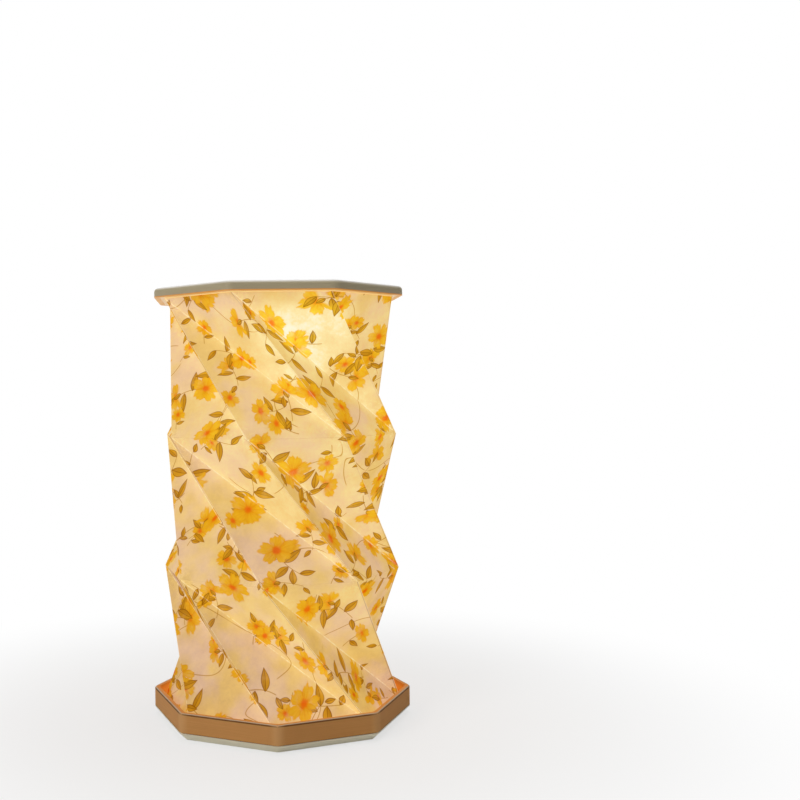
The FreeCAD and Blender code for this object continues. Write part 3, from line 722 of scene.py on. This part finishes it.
def rim_edges(grid):
    """Pairs of neighbouring grid points along the three sides of a facet."""
    rim = [n for n in range(len(grid)) if grid[n].min() < TINY]
    pairs = [(first, second) for first in rim for second in rim if first < second]
    apart = [np.abs(grid[first] - grid[second]) for first, second in pairs]
    return [pair for pair, gap in zip(pairs, apart) if gap.max() < NEIGHBOUR and gap.min() < TINY]


GRID, SMALL = facet_grid()
RIM_EDGES = rim_edges(GRID)
BUBBLE = GRID.prod(axis=1) * 3 ** 3    # 1 in the middle of a facet and 0 along its sides


def facet_swell():
    """How far each grid point stands off the flat facet: a pillow with a slight ripple, by chance."""
    swell = BUBBLE * PILLOW * chance.uniform(*PILLOW_RANGE)
    waves = chance.uniform(*RIPPLE_WAVES, 2)
    phases = chance.uniform(0, 2 * math.pi, 2)
    angles = GRID[:, 1:] * waves * RIPPLE_PITCH + phases
    return swell + np.sin(angles).prod(axis=1) * np.minimum(1, RIPPLE_FADE * BUBBLE) * RIPPLE


def facet_glow(face, normal, away, facing):
    """Light at each grid point, even along the level folds, and dimmer where a hanging facet faces left."""
    near = soft_step(np.abs(away[:, LEVEL]), LEVEL_BLEND, 0.0)[:, None]
    upright = -face * (1, 1, 0) / np.linalg.norm(face[:, :2], axis=1)[:, None]
    inward = near * upright - (1 - near) * normal
    glow = glow_of(face, inward / np.linalg.norm(inward, axis=1)[:, None])
    if facing < 0:
        glow -= LEFT_SHADE * soft_step(-normal[0], *LEFT_FACING)
    return glow


def add_facet(sheet, outer, inner, flat, kinds, facing):
    """One triangle of the folded sheet: kinds names the fold across from each corner, facing its side."""
    corners, lining, flat = np.array(outer), np.array(inner), np.array(flat)
    normal = np.cross(corners[1] - corners[0], corners[2] - corners[0])
    area = np.linalg.norm(normal)
    normal /= area
    away = np.full((len(GRID), 3), NO_FOLD)
    for corner, kind in enumerate(kinds):
        fold = np.linalg.norm(corners[(corner + 1) % 3] - corners[(corner + 2) % 3])
        away[:, kind] = GRID[:, corner] * (area / fold) / MM * facing
    net = GRID @ flat / MM
    glow = facet_glow(GRID @ corners, normal, away, facing)
    bulge = np.outer(facet_swell(), normal)
    for layer, shape, direction in (("outer", corners, 1), ("inner", lining, -1)):
        ids = [sheet.point(layer, place) for place in GRID @ shape + bulge]
        for small in SMALL:
            order = list(small[::direction])
            sheet.add_face([ids[n] for n in order], net[order], away[order], glow[order])
        sheet.sharp.update(frozenset((ids[first], ids[second])) for first, second in RIM_EDGES)


def close_edge(sheet, outer, inner, up):
    """Joins the two layers along one octagon."""
    for side in range(SIDES):
        for part in range(DIVISIONS):
            ends = [part / DIVISIONS, (part + 1) / DIVISIONS]
            line = [outer[side] * (1 - t) + outer[side + 1] * t for t in ends]
            back = [inner[side] * (1 - t) + inner[side + 1] * t for t in reversed(ends)]
            ids = [sheet.point("outer", place) for place in line]
            ids += [sheet.point("inner", place) for place in back]
            count = len(ids)
            order = ids if up else ids[::-1]
            sheet.add_face(order, [(0.0, 0.0)] * count, [(NO_FOLD,) * 3] * count, [EDGE_GLOW] * count)
            sheet.sharp.add(frozenset(ids[:2]))
            sheet.sharp.add(frozenset(ids[2:]))


def sheet_piece(name, sheet):
    piece = add_piece(name, sheet.points, sheet.faces)
    mesh = piece.data
    mesh.polygons.foreach_set("use_smooth", [True] * len(mesh.polygons))
    net = mesh.attributes.new("net_mm", "FLOAT_VECTOR", "CORNER")
    net.data.foreach_set("vector", np.array([(x, y, 0.0) for x, y in sheet.net], np.float32).ravel())
    folds = mesh.attributes.new("fold_mm", "FLOAT_VECTOR", "CORNER")
    folds.data.foreach_set("vector", np.array(sheet.folds, np.float32).ravel())
    glow = mesh.attributes.new("glow", "FLOAT", "CORNER")
    glow.data.foreach_set("value", np.array(sheet.glow, np.float32))
    sharp = mesh.attributes.new("sharp_edge", "BOOLEAN", "EDGE")
    sharp.data.foreach_set("value", [frozenset(edge.vertices) in sheet.sharp for edge in mesh.edges])
    mesh.update()
    return piece


def make_tier(number, node):
    """The paper of one tier and the width and length of its flat strip."""
    radius, low, high = tier_size(node)
    height = high - low
    lean = radius * (math.cos(STEP / 2) - math.cos(OPEN_TWIST + STEP / 2)) / height
    lining = radius - PAPER * math.sqrt(1 + lean ** 2) / math.cos(STEP / 2)
    side, shift, strip = net_of_tier(radius, height)
    start = -number * OPEN_TWIST
    layers = [(ring_points(reach, low, start), ring_points(reach, high, start - OPEN_TWIST))
              for reach in (radius, lining)]
    sheet = Sheet()

    def flat(row, column):
        return column * side + (number + row) * shift, (number + row) * strip

    for n in range(SIDES):
        rising = [(lower[n], lower[n + 1], upper[n]) for lower, upper in layers]
        hanging = [(upper[n], lower[n + 1], upper[n + 1]) for lower, upper in layers]
        rising_net = (flat(0, n), flat(0, n + 1), flat(1, n))
        hanging_net = (flat(1, n), flat(0, n + 1), flat(1, n + 1))
        add_facet(sheet, *rising, rising_net, (VALLEY, MOUNTAIN, LEVEL), 1)
        add_facet(sheet, *hanging, hanging_net, (MOUNTAIN, LEVEL, VALLEY), -1)
    (outer_low, outer_high), (inner_low, inner_high) = layers
    close_edge(sheet, outer_low, inner_low, False)
    close_edge(sheet, outer_high, inner_high, True)
    return sheet_piece(node + "_paper", sheet), (SIDES * side, strip)


paper_material = printed_paper(seam_lean())
for tier_number, (tier_node, tier_body) in enumerate(TIERS):
    tier, flat_size = make_tier(tier_number, tier_node)
    tier.data.materials.append(paper_material)
    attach(tier, tier_body)
    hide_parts(tier_node)
    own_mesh(tier)


# Finishes of the CAD bodies

BANDS = (0.3, 0.7)
FINE_DETAIL = 3.0
GLOSS_SCALE = 0.4
GLOSS_SWING = 0.16
GRAIN_STRENGTH = 0.3
METAL_GRAIN = 0.2
CLOUD_SCALE = 160.0
CLOUD_DIM, GLOW_DIM = 0.9, 0.85
GLOWING_ROUGHNESS = 0.4
CASE = {"rough": 0.46, "grain": 60.0, "shift": 0.015, "fine": 3200.0, "depth": 0.004 * MM, "level": 0.25}


def moulded(name, colour, rough, grain=700.0, shift=0.06, fine=2600.0, depth=0.02 * MM, metal=0.0, level=0.5,
            stretch=(1.0, 1.0, 1.0)):
    """A satin or matt surface with slight clouding, uneven gloss and a fine grain."""
    material, tree, shader = new_material(name)
    place = object_place(tree, stretch)
    cloud = noise(tree, place, grain, FINE_DETAIL)
    tint = mix(tree, cloud.rise(*BANDS), shaded(colour, 1 - shift), shaded(colour, 1 + shift))
    gloss = noise(tree, place, grain * GLOSS_SCALE) * GLOSS_SWING + (rough - GLOSS_SWING / 2)
    if metal:
        depth *= METAL_GRAIN
    grain_bump = bump(tree, noise(tree, place, fine, FINE_DETAIL), GRAIN_STRENGTH, depth)
    set_shader(tree, shader, Base_Color=tint, Roughness=gloss, Metallic=metal, Specular_IOR_Level=level,
               Normal=grain_bump)
    return material


def glowing(name, colour, emission, strength):
    material, tree, shader = new_material(name)
    cloud = noise(tree, object_place(tree), CLOUD_SCALE, FINE_DETAIL)
    tint = mix(tree, cloud, shaded(colour, CLOUD_DIM), colour)
    light = mix(tree, cloud, shaded(emission, GLOW_DIM), emission)
    set_shader(tree, shader, Base_Color=tint, Roughness=GLOWING_ROUGHNESS, Emission_Strength=strength,
               Emission_Color=light)
    return material


def dress(material, *names):
    for name in names:
        slots = nodes[name].data.materials
        slots.clear()
        slots.append(material)


def octagon_reach(x, y):
    """Distance from the axis to the flats of the octagon through each point, with a corner at the front."""
    c, s = math.cos(STEP / 2), math.sin(STEP / 2)
    return (abs(x) * c + abs(y) * s).most(abs(x) * s + abs(y) * c)


# Tray rim: bands are millimetres in from the flats, down from the top or up from the foot
RIM_LOW, RIM_HIGH = (corner.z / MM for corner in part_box("tray_rim"))
RIM_REACH = max(abs(v.co.x) * math.cos(STEP / 2) + abs(v.co.y) * math.sin(STEP / 2)
                for v in nodes["tray_rim"].data.vertices) / MM
RIM_BRUSH_STRETCH = (30.0, 30.0, 7000.0)
RIM_BRUSH = (1.0, 3.0, 0.6)
RIM_CLOUD = 45.0
RIM_CLOUD_BAND = (0.35, 0.75)
RIM_CLOUD_SHARE = 0.35
RIM_TINTS = (linear(206, 148, 88), linear(216, 158, 96))
RIM_CLOUD_TINT = linear(194, 137, 80)
RIM_SKIN = (0.45, 0.3)
# Painted shadow lines under the top edge and at the foot
RIM_LINE_TOP, RIM_LINE_FOOT = (0.15, 0.3), (1.0, 0.75)
RIM_SHADOW_TINT = linear(78, 48, 32)
RIM_SHADOW_LINE_SHARE = 0.75
RIM_FOOT = (0.4, 0.15)
RIM_FOOT_SHADOW_SHARE = 0.6
# Painted highlight along the rim's outer top edge
RIM_HIGHLIGHT_OUT, RIM_HIGHLIGHT_IN, RIM_HIGHLIGHT_DROP = (0.2, 0.35), (0.95, 0.75), (0.35, 0.2)
RIM_HIGHLIGHT_TINT = linear(220, 204, 180)
RIM_HIGHLIGHT_SHARE = 0.8
# Painted highlight down the rim's corners
RIM_CORNER_SKIN, RIM_CORNER = (0.8, 0.6), (1.055, 1.078)
RIM_CORNER_HIGHLIGHT = linear(232, 184, 128)
RIM_CORNER_HIGHLIGHT_SHARE = 0.4
RIM_WARM_IN, RIM_WARM_DROP = (0.8, 1.1), (0.0, 3.0)
RIM_WARM_LEAST = 0.5
RIM_WARM_LIGHT = linear(226, 124, 34)
RIM_WARM_STRENGTH = 0.4
RIM_GLOSS = (0.45, 0.2)
RIM_SPECULAR = 0.03
RIM_BUMP = (0.2, 0.04 * MM)


def brushed_rim():
    """Satin brown, with painted highlights and shadow lines at its edges and the shade's light painted on its
    top and inner wall.
    """
    material, tree, shader = new_material("brown_rim")
    brush = noise(tree, object_place(tree, RIM_BRUSH_STRETCH), *RIM_BRUSH)
    cloud = noise(tree, object_place(tree), RIM_CLOUD, FINE_DETAIL)
    x, y, z = place_in_mm(tree)
    flats = octagon_reach(x, y)
    depth = RIM_REACH - flats
    drop = RIM_HIGH - z
    skin = depth.rise(*RIM_SKIN)
    # Painted shadow lines: under the top edge on the outside, and at the foot
    line = skin * drop.rise(*RIM_LINE_TOP) * drop.rise(*RIM_LINE_FOOT)
    foot = skin * (z - RIM_LOW).rise(*RIM_FOOT)
    # Painted highlight along the outer top edge
    edge_highlight = depth.rise(*RIM_HIGHLIGHT_OUT) * depth.rise(*RIM_HIGHLIGHT_IN) * drop.rise(*RIM_HIGHLIGHT_DROP)
    # Painted highlight down the corners
    corner = depth.rise(*RIM_CORNER_SKIN) * (length_of(x, y) / flats).rise(*RIM_CORNER)
    tint = mix(tree, brush.rise(*BANDS), *RIM_TINTS)
    tint = mix(tree, cloud.rise(*RIM_CLOUD_BAND) * RIM_CLOUD_SHARE, tint, RIM_CLOUD_TINT)
    tint = mix(tree, line * RIM_SHADOW_LINE_SHARE, tint, RIM_SHADOW_TINT)
    tint = mix(tree, foot * RIM_FOOT_SHADOW_SHARE, tint, RIM_SHADOW_TINT)
    tint = mix(tree, edge_highlight * RIM_HIGHLIGHT_SHARE, tint, RIM_HIGHLIGHT_TINT)
    tint = mix(tree, corner * RIM_CORNER_HIGHLIGHT_SHARE, tint, RIM_CORNER_HIGHLIGHT)
    # Painted glow of the shade's light on the rim's top and inner wall
    warm = depth.rise(*RIM_WARM_IN) * (drop.rise(*RIM_WARM_DROP) * (1 - RIM_WARM_LEAST) + RIM_WARM_LEAST)
    set_shader(tree, shader, Base_Color=tint, Roughness=brush * RIM_GLOSS[1] + RIM_GLOSS[0],
               Specular_IOR_Level=RIM_SPECULAR, Emission_Color=mix(tree, warm, BLACK, RIM_WARM_LIGHT),
               Emission_Strength=RIM_WARM_STRENGTH, Normal=bump(tree, brush, *RIM_BUMP))
    return material


# Lid: bands are millimetres up from its foot, down from its top or out from the axis
LID_LOW, LID_HIGH = (corner.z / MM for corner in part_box("lid_shell"))
# Lid colours: the edge painted in shade and the top painted lighter as if lit
LID_EDGE_SHADED = linear(188, 174, 141)
LID_TOP_LIT = linear(247, 245, 240)
LID_TOP_LIT_BAND = (1.4, 0.1)
# Painted light of the shade: an orange line along the lower edge and a warm underside
LID_HEM_BAND = (0.7, 0.2)
LID_HEM_GLOW_TINT = linear(190, 118, 30)
LID_SPILL_BAND = (0.75, 0.25)
LID_SPILL_LIGHT = linear(232, 138, 30)
LID_HEM_SHARE = 0.8
LID_UNDER_BAND = (0.06, 0.02)
LID_UNDER_GLOW_TINT = linear(205, 174, 112)
LID_UNDER_LIGHT = linear(205, 145, 55)
LID_NEAR_BAND = (70.0, 56.0)
LID_FAR_SHARE = 0.3
LID_LIGHT_STRENGTH = 0.4


def lid_case():
    """Satin moulding, its edges painted in shade and its top painted lighter; the shade's light is painted on
    its underside and lower edge.
    """
    material = moulded("case_shell_lid", LID_EDGE_SHADED, **CASE)
    tree = material.node_tree
    shader = tree.nodes["Principled BSDF"]
    x, y, z = place_in_mm(tree)
    up = z - LID_LOW
    near = length_of(x, y).rise(*LID_NEAR_BAND)
    under = up.rise(*LID_UNDER_BAND)
    tint = Wire(tree, shader.inputs["Base Color"].links[0].from_socket)
    # Painted light: the top face whiter than the edges
    tint = mix(tree, (LID_HIGH - z).rise(*LID_TOP_LIT_BAND), tint, LID_TOP_LIT)
    # Painted light of the shade in the colour and the glow of the lower edge and the underside
    tint = mix(tree, up.rise(*LID_HEM_BAND) * LID_HEM_SHARE, tint, LID_HEM_GLOW_TINT)
    tint = mix(tree, under, tint, LID_UNDER_GLOW_TINT)
    light = mix(tree, up.rise(*LID_SPILL_BAND) * LID_HEM_SHARE, BLACK, LID_SPILL_LIGHT)
    light = mix(tree, under * (near * (1 - LID_FAR_SHARE) + LID_FAR_SHARE), light, LID_UNDER_LIGHT)
    set_shader(tree, shader, Base_Color=tint, Emission_Strength=LID_LIGHT_STRENGTH, Emission_Color=light)
    return material


# Dark bronze of the button and the plate: turned or drawn lines, in millimetres
SPUN_TINTS = (linear(70, 45, 38), linear(92, 62, 53))
SPUN_LINES = (5.0, 4.0, 0.7)
SPUN_GLOSS = 0.24
SPUN_ANISOTROPY = 0.85
SPUN_BUMP = (0.12, 0.03 * MM)
DRAWN_TINTS = (linear(70, 46, 39), linear(82, 55, 47))
DRAWN_STRETCH = (0.06, 6.0)
DRAWN_LINES = (1.0, 3.0, 0.6)
DRAWN_GLOSS = 0.3
DRAWN_BUMP = (0.12, 0.01 * MM)
BRONZE_GLOSS_SWING = 0.12


def spun_bronze():
    material, tree, shader = new_material("dark_bronze_spun")
    x, y, _ = place_in_mm(tree)
    lines = flat_noise(tree, vector(tree, length_of(x, y), 0.0), *SPUN_LINES)
    tangent = tree.nodes.new("ShaderNodeTangent")
    tangent.direction_type = "RADIAL"
    tangent.axis = "Z"
    set_shader(tree, shader, Base_Color=mix(tree, lines.rise(*BANDS), *SPUN_TINTS), Metallic=1.0,
               Roughness=lines * BRONZE_GLOSS_SWING + SPUN_GLOSS, Anisotropic=SPUN_ANISOTROPY,
               Tangent=Wire(tree, tangent.outputs[0]), Normal=bump(tree, lines, *SPUN_BUMP))
    return material


def drawn_bronze():
    material, tree, shader = new_material("dark_bronze_brushed")
    x, y, _ = place_in_mm(tree)
    along, across = turned(x, y, FRONT_TURN)
    stretched = vector(tree, along * DRAWN_STRETCH[0], across * DRAWN_STRETCH[1])
    lines = flat_noise(tree, stretched, *DRAWN_LINES)
    set_shader(tree, shader, Base_Color=mix(tree, lines.rise(*BANDS), *DRAWN_TINTS), Metallic=1.0,
               Roughness=lines * BRONZE_GLOSS_SWING + DRAWN_GLOSS, Normal=bump(tree, lines, *DRAWN_BUMP))
    return material


dress(lid_case(), "lid_shell")
# The base plate is the lid's plastic, painted lighter than the lid's shaded edge: painted light
dress(moulded("case_shell_base", linear(238, 232, 206), **CASE), "base_plate")
dress(moulded("inner_moulding", linear(222, 214, 198), rough=0.6, grain=90.0, shift=0.03, level=0.3),
      "tray_floor", "lower_clamp_frame", "led_housing")
# Painted glow: the LED's light on the lid's bottom panel and the upper frame
dress(glowing("lit_moulding", linear(214, 196, 158), linear(240, 186, 100), strength=0.3),
      "lid_bottom_panel", "upper_clamp_frame")
dress(brushed_rim(), "tray_rim")
# Painted glow of the lamp's light through the hems
dress(glowing("plain_paper", linear(243, 222, 180), linear(244, 186, 96), strength=0.6),
      "lower_hem", "upper_hem")
dress(moulded("soft_silicone", linear(112, 110, 106), rough=0.8, grain=220.0, depth=0.05 * MM, level=0.3),
      "base_pad")
dress(moulded("plain_steel", linear(196, 196, 196), rough=0.36, metal=1.0, stretch=(1.0, 8.0, 1.0)),
      "ballast_plate", "base_screws", "usb_socket")
dress(moulded("magnet_nickel", linear(212, 208, 200), rough=0.25, metal=1.0), "rim_magnets", "lid_magnets")
dress(spun_bronze(), "power_button")
dress(drawn_bronze(), "nameplate")
dress(moulded("dark_pins", linear(44, 32, 30), rough=0.4, metal=1.0), "nameplate_pins")
dress(moulded("circuit_board", linear(38, 96, 58), rough=0.45, grain=500.0, shift=0.12),
      "control_board", "led_board", "charge_board")
dress(moulded("contact_gold", linear(226, 186, 112), rough=0.3, metal=1.0), "board_pins")
dress(glowing("led_yellow", linear(245, 215, 120), linear(255, 226, 160), strength=4.0), "led_chips")
dress(glowing("opal_diffuser", linear(246, 240, 226), linear(255, 232, 178), strength=2.0), "led_diffuser")
dress(moulded("black_plastic", linear(38, 38, 38), rough=0.5), "tact_switch", "usb_tongue", "switch_plunger")
dress(moulded("white_plastic", linear(232, 231, 226), rough=0.5), "lead_sockets")
dress(moulded("cell_foil", linear(205, 206, 208), rough=0.32, metal=0.9, grain=240.0, depth=0.08 * MM),
      "battery_cell")
dress(moulded("lead_insulation", linear(176, 40, 32), rough=0.5, level=0.4), "battery_leads", "charge_leads")


# Power sign let into the button: a broken ring with a bar, its top towards the plate

SIGN_RADIUS = 4.7 * MM
SIGN_STROKE = 1.1 * MM
SIGN_GAP = math.radians(66)
SIGN_BAR = 5.6 * MM
SIGN_BAR_TOP = 1.12 * SIGN_RADIUS
SIGN_LIFT = 0.05 * MM
SIGN_SINK = 0.25 * MM
ARC_STEPS = 48
END_STEPS = 6


def heading(angle):
    return Vector((math.cos(angle), math.sin(angle)))


def round_end(centre, direction, width):
    start = math.atan2(direction.y, direction.x) - math.pi / 2
    return [centre + heading(start + math.pi * n / END_STEPS) * width / 2 for n in range(1, END_STEPS)]


def stroke_outline(points, directions, width):
    """Outline of a thick line with round ends."""
    aside = [Vector((-d.y, d.x)) * width / 2 for d in directions]
    right = [point - step for point, step in zip(points, aside)]
    left = [point + step for point, step in zip(points, aside)]
    far_end = round_end(points[-1], directions[-1], width)
    near_end = round_end(points[0], -directions[0], width)
    return right + far_end + left[::-1] + near_end


def sign_piece(name, points, directions):
    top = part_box("power_button")[1].z
    turn = Matrix.Rotation(FRONT_TURN + math.pi, 2)
    flat = [turn @ point for point in stroke_outline(points, directions, SIGN_STROKE)]
    count = len(flat)
    places = [(p.x, p.y, level) for level in (top - SIGN_SINK, top + SIGN_LIFT) for p in flat]
    faces = [list(range(count))[::-1], list(range(count, 2 * count))]
    faces += [[n, (n + 1) % count, count + (n + 1) % count, count + n] for n in range(count)]
    return add_piece(name, places, faces)


sign_start = math.pi / 2 + SIGN_GAP / 2
sign_angles = [sign_start + (2 * math.pi - SIGN_GAP) * n / ARC_STEPS for n in range(ARC_STEPS + 1)]
sign_ring = sign_piece("power_sign_ring", [heading(angle) * SIGN_RADIUS for angle in sign_angles],
                       [heading(angle + math.pi / 2) for angle in sign_angles])
sign_bar = sign_piece("power_sign_bar", [Vector((0.0, SIGN_BAR_TOP - SIGN_BAR)), Vector((0.0, SIGN_BAR_TOP))],
                      [Vector((0.0, 1.0))] * 2)
sign_material = moulded("sign_inlay", linear(30, 20, 18), rough=0.35, metal=0.6)
for sign in (sign_ring, sign_bar):
    sign.data.materials.append(sign_material)
    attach(sign, "button")


# Pale floor, soft studio light and the camera

FLOOR_REACH = 6.0
FLOOR_TINTS = ((0.86, 0.86, 0.86), (0.88, 0.88, 0.88))
FLOOR_GRAIN = 3.0
FLOOR_ROUGHNESS = 0.9
FADE_LEAST = 0.66
FADE_NEAR = 0.1
FADE_FAR = 0.3
AMBIENT = 0.13
LIGHT_AIM = Vector((0.0, 0.0, 0.1))


def seen_directly(tree):
    """1 for what the camera sees, also by way of gloss or glass, and 0 for light that falls on things."""
    rays = tree.nodes.new("ShaderNodeLightPath").outputs
    seen = Wire(tree, rays["Is Camera Ray"])
    for name in ("Is Glossy Ray", "Is Transmission Ray"):
        seen = seen.most(Wire(tree, rays[name]))
    return seen


def floor_material():
    """Pale grey that takes the lamp's shadow and fades to white away from it."""
    material, tree, shader = new_material("pale_floor")
    x, y, _ = split(tree, object_place(tree))
    fade = length_of(x, y).rise(FADE_NEAR, FADE_FAR) * (1.0 - FADE_LEAST) + FADE_LEAST
    grain = noise(tree, object_place(tree), FLOOR_GRAIN)
    set_shader(tree, shader, Base_Color=mix(tree, grain, *FLOOR_TINTS), Roughness=FLOOR_ROUGHNESS,
               Specular_IOR_Level=0.0)
    white = tree.nodes.new("ShaderNodeEmission")
    white.inputs["Strength"].default_value = 1.0
    blend = tree.nodes.new("ShaderNodeMixShader")
    plug(tree, fade * seen_directly(tree), blend.inputs[0])
    tree.links.new(shader.outputs[0], blend.inputs[1])
    tree.links.new(white.outputs[0], blend.inputs[2])
    tree.links.new(blend.outputs[0], tree.nodes["Material Output"].inputs["Surface"])
    return material


def make_world():
    world = bpy.data.worlds.new("studio")
    world.use_nodes = True
    tree = world.node_tree
    background = tree.nodes["Background"]
    background.inputs["Color"].default_value = (*WHITE, 1.0)
    plug(tree, seen_directly(tree) * (1.0 - AMBIENT) + AMBIENT, background.inputs["Strength"])
    scene.world = world


def softbox(name, place, size, power):
    light = bpy.data.lights.new(name, "AREA")
    light.shape = "DISK"
    light.size = size
    light.energy = power
    lamp = bpy.data.objects.new(name, light)
    lamp.location = place
    lamp.rotation_euler = (LIGHT_AIM - lamp.location).to_track_quat("-Z", "Y").to_euler()
    scene.collection.objects.link(lamp)


floor_corners = [(x * FLOOR_REACH, y * FLOOR_REACH, 0.0) for x, y in ((-1, -1), (1, -1), (1, 1), (-1, 1))]
floor = add_piece("floor", floor_corners, [(0, 1, 2, 3)])
floor.data.materials.append(floor_material())
make_world()
softbox("top_light", place=(0.1, 0.1, 1.6), size=1.2, power=11.5)
softbox("key_light", place=(-1.08, -1.24, 0.75), size=0.9, power=9.2)

IMAGE_PIXELS = 800.0
FOCAL_PIXELS = 1071.0
AXIS_PIXEL = 280.0
SENSOR_WIDTH = 36.0
NEAREST_SEEN = 0.01
CAMERA_AZIMUTH = math.radians(2.0)
CAMERA_DISTANCE = 0.5635
CAMERA_HEIGHT = 0.1715
CAMERA_YAW = math.radians(-1.9)
CAMERA_PITCH = math.radians(-0.68)
CAMERA_ROLL = math.radians(-0.76)


def make_camera():
    optics = bpy.data.cameras.new("camera")
    optics.sensor_width = SENSOR_WIDTH
    optics.lens = SENSOR_WIDTH * FOCAL_PIXELS / IMAGE_PIXELS
    optics.shift_x = MIDDLE - AXIS_PIXEL / IMAGE_PIXELS
    optics.clip_start = NEAREST_SEEN
    camera = bpy.data.objects.new("camera", optics)
    camera.location = (CAMERA_DISTANCE * math.sin(CAMERA_AZIMUTH),
                       -CAMERA_DISTANCE * math.cos(CAMERA_AZIMUTH), CAMERA_HEIGHT)
    level_turn = Euler((math.pi / 2 + CAMERA_PITCH, 0.0, -CAMERA_YAW)).to_matrix()
    camera.rotation_euler = (level_turn @ Matrix.Rotation(CAMERA_ROLL, 3, "Z")).to_euler()
    scene.collection.objects.link(camera)
    scene.camera = camera


make_camera()
scene.view_settings.view_transform = "Standard"
